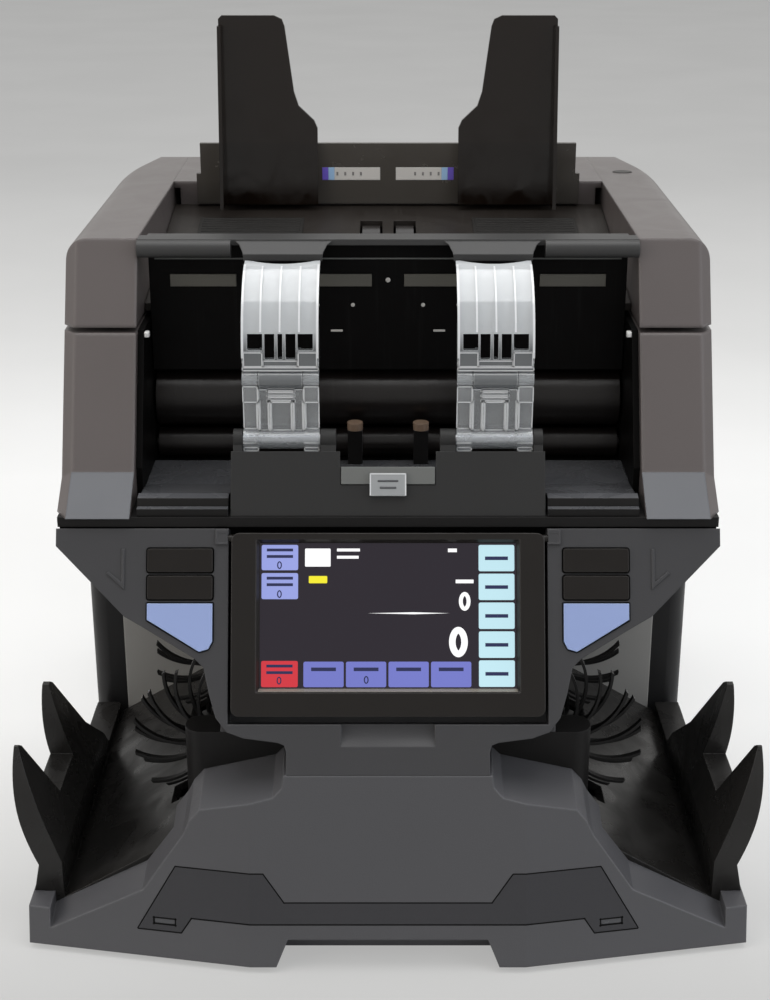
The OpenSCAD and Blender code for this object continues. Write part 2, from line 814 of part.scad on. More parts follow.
module arm_lower(s) {
    face_y = elbow_y - arm_t / 2;
    plate_top = elbow_z - elbow_knuckle - gap;
    mid_w = arm_w - 2 * elbow_ear;
    color(clear_tint) placed() on_side(s) difference() {
        union() {
            rod_x(-arm_out, -arm_x, arm_y, arm_z, knuckle_r - 0.6);
            block(-arm_out, -arm_x, face_y, face_y + arm_t, arm_z + 1, plate_top);
            for (x = [-arm_out, -arm_x - elbow_ear]) {
                rod_x(x, x + elbow_ear, arm_y, arm_z, knuckle_r);
                block(x, x + elbow_ear, arm_y - knuckle_r + 0.4, arm_y + 2, arm_z - knuckle_r + 0.6, arm_z + 1.4);
                rod_x(x, x + elbow_ear, elbow_y, elbow_z, elbow_knuckle);
                block(x, x + elbow_ear, face_y - 1.6, face_y + arm_t, plate_top - 5, elbow_z);
            }
            for (side = [0, 1], i = [0, 1]) {
                rib = elbow_ear - 0.6 + i * 4.4;
                x = side == 0 ? -arm_out + rib : -arm_x - rib - 1;
                block(x, x + 1, face_y - 1.2, face_y + 0.5, arm_z + 2, plate_top - 4.6);
            }
            for (i = [0:2])
                block(-arm_out + elbow_ear + mid_w / 5, -arm_x - elbow_ear - mid_w / 5,
                      face_y - 1, face_y + 0.5, plate_top - 1.2 - i * 2, plate_top - 0.2 - i * 2);
        }
        rod_x(-half_body, 0, arm_y, arm_z, arm_pin_r + fit * 2);
        rod_x(-half_body, 0, elbow_y, elbow_z, elbow_r + fit * 2);
    }
}

module arc_band(r0, r1) {
    span = 2 * arm_bend;
    intersection() {
        difference() {
            circle(r = r1);
            circle(r = r0);
        }
        polygon([[0, 0], [-span, 0], [-span, span], [-span * cos(arm_sweep), span * sin(arm_sweep)]]);
    }
}

module arm_upper(s) {
    face_y = elbow_y - arm_t / 2;
    x0 = -arm_out + elbow_ear + gap;
    x1 = -arm_x - elbow_ear - gap;
    cheek = elbow_ear + 2;
    centre_y = face_y + arm_bend;
    tip_y = centre_y - arm_bend * cos(arm_sweep);
    tip_z = bend_z + arm_bend * sin(arm_sweep);
    color(clear_tint) placed() on_side(s) difference() {
        union() {
            rod_x(x0, x1, elbow_y, elbow_z, elbow_knuckle);
            rod_x(-arm_out, -arm_x, elbow_y, elbow_z, elbow_r);
            block(x0, x1, face_y, face_y + arm_t, elbow_z, head_z + 1);
            block(-arm_out, -arm_x, face_y - 0.8, face_y + arm_t + 0.6, head_z, head_z + 1.6);
            block(-arm_out + 0.4, -arm_x - 0.4, face_y, face_y + arm_t, head_z + 1, bend_z + 1);
            for (x = [-arm_out + 0.6, -arm_x - cheek])
                block(x, x + cheek - 0.6, face_y - 0.6, face_y + arm_t + 1.4, head_z + 1, window_z - 0.6);
            translate([0, centre_y, bend_z]) {
                along_x(-arm_out, -arm_x) arc_band(arm_bend - arm_t, arm_bend);
                for (i = [1:3])
                    along_x(-arm_out + i * arm_w / 4 - 0.5, -arm_out + i * arm_w / 4 + 0.5)
                        arc_band(arm_bend - arm_t - 1.4, arm_bend - 0.5);
            }
            for (x = [-arm_out, -arm_x - 1.5])
                along_x(x, x + 1.5) polygon([
                    [face_y + 1, head_z + 0.5], [face_y + 11, head_z + 0.5], [face_y + 13, bend_z + 3],
                    [face_y + 6, bend_z + 18]
                ]);
        }
        for (x = [-arm_out + 2.2, -arm_x - cheek])
            block(x, x + cheek - 2.2, face_y - 2, face_y + 9, window_z, window_z + window_h);
        for (x = [-arm_out + cheek + 0.8, -arm_x - cheek - 4.6, -arm_out + arm_w / 2 - 0.9])
            block(x, x + (x > -arm_out + arm_w / 2 - 1 && x < -arm_out + arm_w / 2 ? 1.8 : 3.8),
                  face_y - 2, face_y + 9, bend_z + 1.5, window_z + window_h);
        translate([-arm_out + arm_w / 2, tip_y, tip_z]) rotate([arm_sweep - 90, 0, 0])
            translate([0, arm_w - 3, -arm_t * 3]) cylinder(r = arm_w, h = arm_t * 6);
    }
}

// Lower transport bed with its rollers
module transport_bed() {
    color(soft_black) placed() difference() {
        block(-inner_half, inner_half, roll_y + 14, rear_y - 6, bed_top - 3.5, bed_top);
        for (y = feed_ys, x = [-60, 0, 60])
            block(x - 13, x + 13, y - feed_r - 1, y + feed_r + 1, 0, big);
        for (y = feed_ys)
            rod_x(-half_body, half_body, y, feed_z, shaft_r + 1);
    }
}

module transport_roller(y) {
    color(soft_black) placed() {
        rod_x(-half_hopper + 0.4, half_hopper - 0.4, y, feed_z, shaft_r);
        for (x = [-60, 0, 60])
            rod_x(x - 12, x + 12, y, feed_z, feed_r);
    }
}

// Hopper unit, hinged at the back
tab_out = arm_out + 0.6;
tab_in = arm_x - 0.6;

module tab_outline() {
    polygon([
        [-tab_out - 5, top_z], [-tab_out - 2, top_z - 1.8], [-tab_out - 0.4, top_z - 4.2], [-tab_out, top_z - 8],
        [-tab_in, top_z - 8], [-tab_in + 0.4, top_z - 4.2], [-tab_in + 2, top_z - 1.8], [-tab_in + 5, top_z]
    ]);
}

module front_bar() {
    roll_r = 3.4;
    bar_rail_t = 2.4;
    color(cover_grey) placed() {
        block(-half_hopper, half_hopper, rail_y - 2, apron_y, top_z - bar_rail_t, top_z);
        block(-inner_half + 0.5, inner_half - 0.5, apron_y - 1, bed_y, top_z - 1.6, top_z);
        for (s = [-1, 1])
            on_side(s) {
                rod_x(-half_hopper, -arm_out - 6, rail_y - 3, top_z - roll_r - 0.2, roll_r);
                intersection() {
                    along_x(-half_hopper, 0) polygon([
                        [rail_y - 1, top_z], [tab_y, top_z - 4.6], [tab_y, top_z - 7.3], [rail_y - 1, top_z - 3]
                    ]);
                    along_y(0, machine_d) tab_outline();
                }
            }
    }
}

module upper_guide() {
    color(black) placed() along_x(-inner_half + 0.5, inner_half - 0.5) polygon([
        [apron_y, apron_z], [apron_y, top_z - 1.6], [bed_y, top_z - 1.6], [bed_y, apron_z + 3],
        [rear_y - 6, apron_z + 3], [rear_y - 6, apron_z]
    ]);
}

module guide_strips() {
    color(pale_grey) placed() for (s = [-1, 1], x = [6.5, 61])
        on_side(s) block(-x - (x < 20 ? 21.5 : 26.5), -x, apron_y - 0.8, apron_y, apron_z + 35, apron_z + 40);
}

module hopper_bed() {
    color([0.2, 0.18, 0.17]) placed() difference() {
        along_x(-half_hopper + 0.3, half_hopper - 0.3) polygon([
            [bed_y, bed_z(bed_y)], [deck_y, bed_z(deck_y)], [deck_y, bed_z(deck_y) - bed_t], [bed_y, bed_z(bed_y) - bed_t]
        ]);
        for (x = [-pick_x, pick_x])
            block(x - pick_w / 2 - 1, x + pick_w / 2 + 1, pick_y - pick_r - 1, pick_y + pick_r + 1, 0, big);
    }
}

module hinge_span(x0, x1) {
    rod_x(x0, x1, hinge_y, hinge_z, barrel_r);
}

module top_deck() {
    color(cover_grey) placed() difference() {
        union() {
            block(-half_hopper, half_hopper, deck_y, rear_y, top_z - wall, top_z);
            block(-inner_half + 0.5, inner_half - 0.5, deck_y, deck_y + wall, apron_z + 3, top_z - wall);
            block(-half_hopper, half_hopper, rear_y - wall, rear_y, split_high, top_z - wall);
            for (s = [-1, 1])
                on_side(s) {
                    hinge_span(-70, -50);
                    block(-70, -50, rear_y - 0.5, hinge_y, hinge_z + split_w / 2, hinge_z + barrel_r);
                }
        }
        rod_x(-half_body, half_body, hinge_y, hinge_z, pin_r + fit * 2);
    }
}

module hinge_brackets() {
    color(steel) placed() difference() {
        for (s = [-1, 1], x = [-82, -49.5])
            on_side(s) {
                hinge_span(x, x + 11.5);
                block(x, x + 11.5, rear_y + panel_back_t, hinge_y + 1, hinge_z - 24, hinge_z);
            }
        rod_x(-half_body, half_body, hinge_y, hinge_z, pin_r + fit);
    }
}

module hinge_pins() {
    color(steel) placed() for (s = [-1, 1])
        on_side(s) rod_x(-82, -38, hinge_y, hinge_z, pin_r);
}

module guide_bar() {
    color(smoke) placed() {
        block(-bar_half, bar_half, deck_y - bar_t, deck_y, bar_z, bar_z + bar_h);
        block(-bar_half - 2, bar_half + 2, deck_y - bar_t, deck_y, bar_z, bar_z + bar_h / 2);
    }
}

module guide_outline() {
    inner = guide_x - guide_w;
    step_z = bar_z + bar_h + 9;
    polygon([
        [-guide_x, 0], [-guide_x, guide_top - 1.5], [-guide_x + 1.5, guide_top], [-inner - 19, guide_top],
        [-inner - 15.5, guide_top - 1.6], [-inner - 14.4, guide_top - 4.5], [-inner - 10.5, step_z + 14],
        [-inner - 8.5, step_z + 8], [-inner - 1.6, step_z + 1.6], [-inner, step_z - 2], [-inner, 0]
    ]);
}

module note_guide(s) {
    rise = (guide_top - guide_z) * tan(guide_lean);
    color(smoke) placed() on_side(s) {
        intersection() {
            along_x(-guide_x, 0) polygon([
                [guide_back - guide_t, guide_z], [guide_back, guide_z],
                [guide_back + rise, guide_top], [guide_back - guide_t + rise, guide_top]
            ]);
            along_y(0, machine_d) guide_outline();
        }
        along_x(-guide_x, -guide_x + 1.6) polygon([
            [guide_back - 14, guide_z], [guide_back - guide_t / 2, guide_z],
            [guide_back - guide_t / 2 + rise * 0.95, guide_top - 4], [guide_back - 9 + rise * 0.95, guide_top - 4]
        ]);
        block(-guide_x + 8, -guide_x + guide_w - 8, deck_y - bar_t - gap - 1, deck_y + 3, bar_z + bar_h + gap, bar_z + bar_h + 2.5);
        block(-guide_x + 8, -guide_x + guide_w - 8, deck_y + gap, deck_y + 3, top_z + 2, bar_z + bar_h + 2.5);
    }
}

module pickup_roller() {
    color(soft_black) placed() {
        rod_x(-half_hopper - 2.6, half_hopper + 2.6, pick_y, pick_z, shaft_r);
        for (x = [-pick_x, pick_x])
            rod_x(x - pick_w / 2, x + pick_w / 2, pick_y, pick_z, pick_r);
    }
}

// Stacker wheels: curved fingers that start at the hub and trail the turning
module finger() {
    intersection() {
        difference() {
            translate([0, finger_bend]) circle(r = finger_bend + finger_t / 2);
            translate([0, finger_bend]) circle(r = finger_bend - finger_t / 2);
        }
        circle(r = wheel_r);
        translate([0, -wheel_r]) square([wheel_r, 2 * wheel_r]);
    }
}

module finger_disc() {
    difference() {
        union() {
            circle(r = hub_r - 0.5);
            for (i = [0:fingers - 1])
                rotate(i * 360 / fingers) finger();
        }
        circle(r = shaft_r + 1);
    }
}

module stacker_wheels(s) {
    color(black) placed() on_side(s) for (y = [wheel_y, wheel_y + wheel_pitch])
        translate([-wheel_x, 0, wheel_z]) {
            along_y(y - wheel_w / 2, y + wheel_w / 2) difference() {
                circle(r = hub_r);
                circle(r = shaft_r + fit);
            }
            for (e = [-1, 1], turn = [180 / fingers * (e + 1) / 2])
                along_y(y + e * (wheel_w / 2 - finger_w / 2 - 0.4) - finger_w / 2,
                        y + e * (wheel_w / 2 - finger_w / 2 - 0.4) + finger_w / 2)
                    mirror([1, 0]) rotate(turn) finger_disc();
        }
}

module stacker_shaft(s) {
    color(steel) placed() on_side(s) rod_y(column_y + wall + 0.4, rear_front_y + 10, -wheel_x, wheel_z, shaft_r);
}

// Back of the machine
inlet_x = 80;
inlet_z = 45;
switch_x = 48;
switch_r = 9.3;

module rear_panel() {
    color(case_grey) placed() difference() {
        block(-rear_half + wall, rear_half - wall, rear_y, rear_y + panel_back_t, pan_z + 2, split_low - 5);
        block(inlet_x - 13.8, inlet_x + 13.8, 0, big, inlet_z - 9.8, inlet_z + 9.8);
        block(switch_x - 7, switch_x + 7, 0, big, inlet_z - 10, inlet_z + 10);
        for (i = [0:11])
            block(-100 + i * 3 * vent_w, -100 + i * 3 * vent_w + vent_w, 0, big, 30, 70);
    }
}

module power_inlet() {
    back = rear_y + panel_back_t;
    color(black) placed() difference() {
        union() {
            block(inlet_x - 15.5, inlet_x + 15.5, back, back + 2, inlet_z - 11.5, inlet_z + 11.5);
            block(inlet_x - 13.5, inlet_x + 13.5, rear_y - 14, back, inlet_z - 9.5, inlet_z + 9.5);
            block(switch_x - 9, switch_x + 9, rear_y - 16, rear_y, inlet_z - 12, inlet_z + 12);
        }
        difference() {
            block(inlet_x - 12, inlet_x + 12, rear_y - 12, big, inlet_z - 8, inlet_z + 8);
            for (x = [-7, 0, 7])
                block(inlet_x + x - 1, inlet_x + x + 1, rear_y - 12, back - 2,
                      inlet_z - (x == 0 ? -1 : 3), inlet_z + (x == 0 ? 5 : 1));
        }
        rod_x(switch_x - 6.5, switch_x + 6.5, rear_y - 3, inlet_z, switch_r + gap);
        rod_x(switch_x - 8, switch_x + 8, rear_y - 3, inlet_z, 1.5 + fit * 2);
        block(switch_x - 6.5, switch_x + 6.5, rear_y - 3, big, inlet_z - 9.6, inlet_z + 9.6);
    }
}

module power_switch() {
    color(soft_black) placed() {
        difference() {
            rod_x(switch_x - 6.2, switch_x + 6.2, rear_y - 3, inlet_z, switch_r);
            for (s = [-1, 1])
                translate([switch_x, rear_y + 4.2, inlet_z]) rotate([s * 9, 0, 0])
                    translate([-10, 0, s > 0 ? -20 : 0]) cube([20, 20, 20]);
        }
        rod_x(switch_x - 7.8, switch_x + 7.8, rear_y - 3, inlet_z, 1.5);
    }
}

module power_supply() {
    color(steel) placed() block(-rear_half + 15.5, -20, rear_front_y + 14, rear_y - 20,
                                 pan_z + wall, pan_z + wall + supply_h);
}

module main_board() {
    z = pan_z + wall + board_rise;
    color([0.1, 0.3, 0.15]) placed() {
        block(-rear_half + 13.5, -10, rear_front_y + 14, rear_y - 20, z, z + 1.6);
        for (x = [-rear_half + 19.5, -24], y = [rear_front_y + 20, rear_y - 26])
            translate([x, y, z - 16]) cylinder(r = 3, h = 16);
    }
}

module drive_motor() {
    motor_x = 20;
    foot_t = 3;
    motor_r = motor_d / 2;
    y = deck_y - 12;
    z = cover_z + motor_r + foot_t;
    color(steel) placed() {
        rod_x(motor_x, motor_x + motor_l, y, z, motor_r);
        block(motor_x - foot_t, motor_x, y - motor_r - foot_t, y + motor_r + foot_t, cover_z, z + motor_r + 2);
    }
}

base_pan();
front_inlay();
pocket_tray(-1);  // left_pocket_tray
pocket_tray(1);  // right_pocket_tray
rear_housing();
side_pods();
transport_frame();
wing_panel();
key_modules();
belly_plate();
lower_cover(-1);  // left_lower_cover
lower_cover(1);  // right_lower_cover
side_plates();
reject_tray();
centre_plate();
sensor_strip();
sensor_prism();
sensor_caps();
arm_shafts();
transport_bed();
rear_panel();
power_inlet();
hinge_brackets();
hinge_pins();
feet();
power_supply();
main_board();
drive_motor();
display_bezel();
lcd_panel();
key(-1, 0, soft_black);  // left_top_key
key(-1, 1, soft_black);  // left_mid_key
key(-1, 2, key_blue);  // left_start_key
key(1, 0, soft_black);  // right_top_key
key(1, 1, soft_black);  // right_mid_key
key(1, 2, key_blue);  // right_start_key
upper_cover(-1);  // left_upper_cover
upper_cover(1);  // right_upper_cover
front_bar();
upper_guide();
guide_strips();
hopper_bed();
top_deck();
guide_bar();
note_guide(-1);  // left_guide
note_guide(1);  // right_guide
pickup_roller();
reject_upper_roller();
reject_lower_roller();
arm_lower(-1);  // left_arm_lower
arm_upper(-1);  // left_arm_upper
arm_lower(1);  // right_arm_lower
arm_upper(1);  // right_arm_upper
stacker_shaft(-1);  // left_stacker_shaft
stacker_wheels(-1);  // left_stacker_wheels
stacker_shaft(1);  // right_stacker_shaft
stacker_wheels(1);  // right_stacker_wheels
transport_roller(feed_ys[0]);  // transport_roller_front
transport_roller(feed_ys[1]);  // transport_roller_back
power_switch();
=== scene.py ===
"""Looks of the banknote sorter: finishes, lit screen, labels, fine mouldings and the studio."""

import logging
import math
from collections.abc import Callable, Iterator
from contextlib import contextmanager
from dataclasses import dataclass, field
from enum import Enum

import bmesh
import bpy
from bmesh.types import BMEdge, BMesh, BMFace, BMVert
from bpy.types import Material, Node, NodeTree, Object
from mathutils import Matrix, Vector


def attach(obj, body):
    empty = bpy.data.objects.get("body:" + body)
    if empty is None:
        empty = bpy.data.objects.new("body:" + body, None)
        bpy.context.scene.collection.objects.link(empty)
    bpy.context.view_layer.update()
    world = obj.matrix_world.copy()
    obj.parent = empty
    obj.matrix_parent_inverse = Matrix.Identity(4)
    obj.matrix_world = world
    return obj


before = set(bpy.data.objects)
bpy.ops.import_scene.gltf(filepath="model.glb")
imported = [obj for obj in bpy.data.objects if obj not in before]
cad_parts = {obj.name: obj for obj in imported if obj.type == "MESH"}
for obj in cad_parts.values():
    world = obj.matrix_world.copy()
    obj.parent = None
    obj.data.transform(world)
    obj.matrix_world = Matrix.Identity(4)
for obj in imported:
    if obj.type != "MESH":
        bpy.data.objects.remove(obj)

LOG = logging.getLogger("sorter")
MM = 0.001
# Sockets of a colour mix node, which share their names with those for other kinds of data.
MIX_A, MIX_B, MIX_OUT = 6, 7, 2
# Turns a plane's first axis back, its second up and its third to the right.
TURN = Matrix(((0, 0, 1, 0), (1, 0, 0, 0), (0, 1, 0, 0), (0, 0, 0, 1)))

Point = tuple[float, float]
Colour = tuple[float, float, float]
Linear = tuple[float, float, float, float]
Output = tuple[Node, str]


def linear(colour: Colour) -> Linear:
    """Turns a written screen colour into the shader's linear one.

    Args:
        colour: red, green and blue from 0 to 255.

    Returns:
        Linear red, green, blue and an alpha of 1.
    """
    parts = [c / 255 for c in colour]
    flat = [p / 12.92 if p <= 0.04045 else ((p + 0.055) / 1.055) ** 2.4 for p in parts]
    return (flat[0], flat[1], flat[2], 1.0)


def shade(colour: Colour, factor: float, lift: float = 0.0) -> Linear:
    """Brightens or darkens a written colour.

    Args:
        colour: red, green and blue from 0 to 255.
        factor: multiplies the linear colour.
        lift: is added to it.

    Returns:
        The linear colour, cut off at 1.
    """
    red, green, blue = (min(1.0, c * factor + lift) for c in linear(colour)[:3])
    return (red, green, blue, 1.0)


def show(name: str, data: bpy.types.ID) -> Object:
    """Puts a mesh, lamp or camera into the scene.

    Args:
        name: the object's name.
        data: what it shows.

    Returns:
        The new object.
    """
    obj = bpy.data.objects.new(name, data)
    bpy.context.scene.collection.objects.link(obj)
    return obj


def settle(name: str, mesh: BMesh) -> Object:
    """Turns a bmesh into an object of the scene.

    Args:
        name: the object's name.
        mesh: the finished bmesh, which is freed.

    Returns:
        The new object.
    """
    data = bpy.data.meshes.new(name)
    mesh.to_mesh(data)
    mesh.free()
    return show(name, data)


class Side(Enum):
    """The two halves of the machine, with the sign of X."""

    LEFT = -1
    RIGHT = 1

    @property
    def word(self) -> str:
        """The word that node names start with."""
        return self.name.lower()

    def span(self, near: float, far: float) -> Point:
        """Lower and upper end of a stretch across this half, from its inner and its outer end."""
        return (near, far) if self is Side.RIGHT else (-far, -near)


class Tree:
    """A node tree with short calls to add and join nodes."""

    def __init__(self, tree: NodeTree) -> None:
        """Wraps a tree.

        Args:
            tree: the material's, the world's or the group's node tree.
        """
        self.tree = tree

    @staticmethod
    def put(node: Node, **values: object) -> Node:
        """Sets a node's inputs and properties by name.

        Args:
            node: the node.
            values: inputs by name with _ for a space, or node properties.

        Returns:
            The same node.
        """
        for key, value in values.items():
            title = key.replace("_", " ")
            if title in node.inputs:
                node.inputs[title].default_value = value
            else:
                setattr(node, key, value)
        return node

    def add(self, kind: str, **values: object) -> Node:
        """Adds a node of a kind, with inputs and properties as for put."""
        return self.put(self.tree.nodes.new(kind), **values)

    def wire(self, *links: tuple[Node, str | int, Node, str | int]) -> None:
        """Links nodes.

        Args:
            links: for each, a node with its output and a node with its input, by name or number.
        """
        for source, out, target, into in links:
            self.tree.links.new(source.outputs[out], target.inputs[into])

    def blend(self, low: Linear | None = None, high: Linear | None = None, **values: object) -> Node:
        """Adds a colour mix.

        Args:
            low: its first colour.
            high: its second colour.
            values: inputs and properties, as for put.

        Returns:
            The new node.
        """
        node = self.add("ShaderNodeMix", data_type="RGBA", **values)
        for number, colour in ((MIX_A, low), (MIX_B, high)):
            if colour:
                node.inputs[number].default_value = colour
        return node

    def larger(self, first: Output, second: Output) -> Output:
        """Adds the larger of two values.

        Args:
            first: a node and its output.
            second: another one.

        Returns:
            The new node and its output.
        """
        node = self.add("ShaderNodeMath", operation="MAXIMUM")
        self.wire((*first, node, 0), (*second, node, 1))
        return node, "Value"

    def edges(self, radius: float, full: float, amount: float = 1.0) -> tuple[Node, Node]:
        """Adds a mask of the edges, where the rounded normal leaves the flat one.

        Args:
            radius: width of an edge, in millimetres.
            full: match of the two normals at which the mask is full.
            amount: the full mask's value.

        Returns:
            The node with the rounded normal and the one with the mask.
        """
        corner = self.add("ShaderNodeBevel", samples=4, Radius=radius * MM)
        flat = self.add("ShaderNodeNewGeometry")
        match = self.add("ShaderNodeVectorMath", operation="DOT_PRODUCT")
        mask = self.add("ShaderNodeMapRange", From_Min=0.995, From_Max=full, To_Max=amount)
        self.wire((corner, "Normal", match, 0), (flat, "Normal", match, 1), (match, "Value", mask, "Value"))
        return corner, mask


class SharedEffects:
    """Shader groups that several finishes use."""

    def __init__(self) -> None:
        """Builds the groups once."""
        self.moulding = self._moulding()
        self.scuffs = self._scuffs()

    @staticmethod
    def _group(name: str, ins: list[str], outs: list[str]) -> tuple[Tree, Node, Node]:
        """Starts a group with a Vector input and other named sockets.

        Args:
            name: the group's name.
            ins: names of the float inputs.
            outs: names of the float outputs.

        Returns:
            The group's tree, its input node and its output node.
        """
        group = bpy.data.node_groups.new(name, "ShaderNodeTree")
        group.interface.new_socket("Vector", in_out="INPUT", socket_type="NodeSocketVector")
        for way, titles in (("INPUT", ins), ("OUTPUT", outs)):
            for title in titles:
                group.interface.new_socket(title, in_out=way, socket_type="NodeSocketFloat")
        t = Tree(group)
        return t, t.add("NodeGroupInput"), t.add("NodeGroupOutput")

    def _moulding(self) -> NodeTree:
        """Spark-eroded grain, slow colour drift and smudges of a moulded surface.

        Returns:
            The group with Grain, Drift and Smudge outputs.
        """
        t, source, sink = self._group(
            "moulded_surface", ["Grain Scale", "Smudge Scale"], ["Grain", "Drift", "Smudge"]
        )
        grain = t.add("ShaderNodeTexNoise", Detail=3.0, Roughness=0.6)
        drift = t.add("ShaderNodeTexNoise", Scale=14.0, Detail=2.0)
        smudge = t.add("ShaderNodeTexNoise", Detail=4.0, Roughness=0.55, Distortion=0.8)
        spread = t.add("ShaderNodeMapRange", From_Min=0.38, From_Max=0.68)
        t.wire(
            *((source, "Vector", node, "Vector") for node in (grain, drift, smudge)),
            (source, "Grain Scale", grain, "Scale"),
            (source, "Smudge Scale", smudge, "Scale"),
            (smudge, "Fac", spread, "Value"),
            (grain, "Fac", sink, "Grain"),
            (drift, "Fac", sink, "Drift"),
            (spread, "Result", sink, "Smudge"),
        )
        return t.tree

    def _scuffs(self) -> NodeTree:
        """Fine rubbed lines where notes slide over a surface.

        Returns:
            Fine scuffed lines where notes slide over a surface.
        """
        t, source, sink = self._group("note_scuffs", ["Amount"], ["Scuff"])
        stretch = t.add("ShaderNodeMapping", Scale=(420.0, 24.0, 24.0))
        lines = t.add("ShaderNodeTexNoise", Scale=1.0, Detail=2.0, Roughness=0.7)
        cut = t.add("ShaderNodeMapRange", From_Min=0.58, From_Max=0.78)
        amount = t.add("ShaderNodeMath", operation="MULTIPLY")
        t.wire(
            (source, "Vector", stretch, "Vector"),
            (stretch, "Vector", lines, "Vector"),
            (lines, "Fac", cut, "Value"),
            (cut, "Result", amount, 0),
            (source, "Amount", amount, 1),
            (amount, "Value", sink, "Scuff"),
        )
        return t.tree


@dataclass(frozen=True)
class Canvas:
    """A new material with the nodes that every finish starts from."""

    material: Material
    tree: Tree
    shader: Node
    place: Node
    surface: Node


@dataclass(frozen=True)
class Finish:
    """What all finishes share."""

    name: str
    colour: Colour

    def start(
        self, shared: SharedEffects, grain_scale: float, smudge_scale: float, **inputs: object
    ) -> Canvas:
        """Starts the material, with the moulded surface's effects at hand.

        Args:
            shared: the shader groups.
            grain_scale: fineness of the grain.
            smudge_scale: fineness of the smudges.
            inputs: plain values of the shader, with _ for a space.

        Returns:
            The material and its first nodes.
        """
        material = bpy.data.materials.new(self.name)
        material.use_nodes = True
        t = Tree(material.node_tree)
        shader = t.put(material.node_tree.nodes["Principled BSDF"], **inputs)
        place = t.add("ShaderNodeTexCoord")
        surface = t.add(
            "ShaderNodeGroup", node_tree=shared.moulding, Grain_Scale=grain_scale, Smudge_Scale=smudge_scale
        )
        t.wire((place, "Object", surface, "Vector"))
        return Canvas(material, t, shader, place, surface)


@dataclass(frozen=True)
class Moulded(Finish):
    """An opaque moulded finish with grain, drift, smudges, real note scuffs and painted highlights along its
    edges.
    """

    roughness: float = 0.45
    grain: float = 0.25
    grain_scale: float = 1500.0
    drift: float = 0.06
    smudge: float = 0.12
    smudge_scale: float = 45.0
    edge: float = 0.5
    # Strength of the painted highlight along the edges.
    edge_highlight: float = 0.25
    scuff: float = 0.0
    metallic: float = 0.0
    coat: float = 0.0
    specular: float = 0.5

    def build(self, shared: SharedEffects) -> Material:
        """Builds the material.

        Args:
            shared: the shader groups.

        Returns:
            The finished material.
        """
        c = self.start(
            shared, self.grain_scale, self.smudge_scale, Metallic=self.metallic, Coat_Weight=self.coat,
            Coat_Roughness=0.12, Specular_IOR_Level=self.specular,
        )
        t = c.tree
        tone = t.blend(shade(self.colour, 1 - self.drift), shade(self.colour, 1 + self.drift))
        # Painted highlight: the edge mask lightens the colour along the edges, and the scuffs lighten it as
        # real wear.
        corner, mask = t.edges(self.edge, 0.80, self.edge_highlight)
        highlight_and_scuff = t.blend(high=shade(self.colour, 2.2, 0.03))
        highlight_and_scuff_mask: Output = (mask, "Result")
        if self.scuff > 0:
            lines = t.add("ShaderNodeGroup", node_tree=shared.scuffs, Amount=self.scuff)
            t.wire((c.place, "Object", lines, "Vector"))
            highlight_and_scuff_mask = t.larger(highlight_and_scuff_mask, (lines, "Scuff"))
        rough = t.add(
            "ShaderNodeMapRange", To_Min=max(0.02, self.roughness - self.smudge / 2),
            To_Max=min(1.0, self.roughness + self.smudge / 2),
        )
        bump = t.add("ShaderNodeBump", Strength=self.grain, Distance=0.0002)
        t.wire(
            (c.surface, "Drift", tone, "Factor"),
            (tone, MIX_OUT, highlight_and_scuff, MIX_A),
            (*highlight_and_scuff_mask, highlight_and_scuff, "Factor"),
            (highlight_and_scuff, MIX_OUT, c.shader, "Base Color"),
            (c.surface, "Smudge", rough, "Value"),
            (rough, "Result", c.shader, "Roughness"),
            (c.surface, "Grain", bump, "Height"),
            (corner, "Normal", bump, "Normal"),
            (bump, "Normal", c.shader, "Normal"),
        )
        return c.material


@dataclass(frozen=True)
class Clear(Finish):
    """A see-through moulded finish, with painted highlights along its edges and, where asked, a painted
    reflection that whitens its upper part.
    """

    roughness: float = 0.08
    transmission: float = 1.0
    ior: float = 1.49
    ripple: float = 0.12
    coat: float = 0.0
    specular: float = 0.5
    edge: float = 0.0
    bright: Colour = (240, 244, 247)
    # Heights in millimetres over which a painted reflection whitens the upper part.
    reflection_low: float = 0.0
    reflection_high: float = 0.0

    def build(self, shared: SharedEffects) -> Material:
        """Builds the material.

        Args:
            shared: the shader groups.

        Returns:
            The finished material.
        """
        c = self.start(
            shared, 160.0, 90.0, Transmission_Weight=self.transmission, Specular_IOR_Level=self.specular,
            IOR=self.ior, Coat_Weight=self.coat, Coat_Roughness=0.06, Base_Color=linear(self.colour),
        )
        t = c.tree
        rough = t.add("ShaderNodeMapRange", To_Min=self.roughness * 0.5, To_Max=self.roughness * 1.8)
        bump = t.add("ShaderNodeBump", Strength=self.ripple, Distance=0.0006)
        t.wire(
            (c.surface, "Smudge", rough, "Value"),
            (rough, "Result", c.shader, "Roughness"),
            (c.surface, "Grain", bump, "Height"),
            (bump, "Normal", c.shader, "Normal"),
        )
        # Painted highlight and painted reflection: the masked places are lightened towards the bright
        # colour.
        if self.edge > 0:
            tone = t.blend(linear(self.colour), linear(self.bright))
            t.wire((*self._brightness(c), tone, "Factor"), (tone, MIX_OUT, c.shader, "Base Color"))
        return c.material

    def _brightness(self, c: Canvas) -> Output:
        """Mask of the painted highlights along the edges and, where asked, of the painted reflection over
        the upper part.

        Args:
            c: the started material.

        Returns:
            The node with the mask and its output.
        """
        rim: Output = (c.tree.edges(self.edge, 0.85)[1], "Result")
        if self.reflection_high <= self.reflection_low:
            return rim
        axes = c.tree.add("ShaderNodeSeparateXYZ")
        reflection_mask = c.tree.add("ShaderNodeMapRange", From_Min=self.reflection_low * MM, From_Max=self.reflection_high * MM)
        c.tree.wire((c.place, "Object", axes, "Vector"), (axes, "Z", reflection_mask, "Value"))
        return c.tree.larger(rim, (reflection_mask, "Result"))


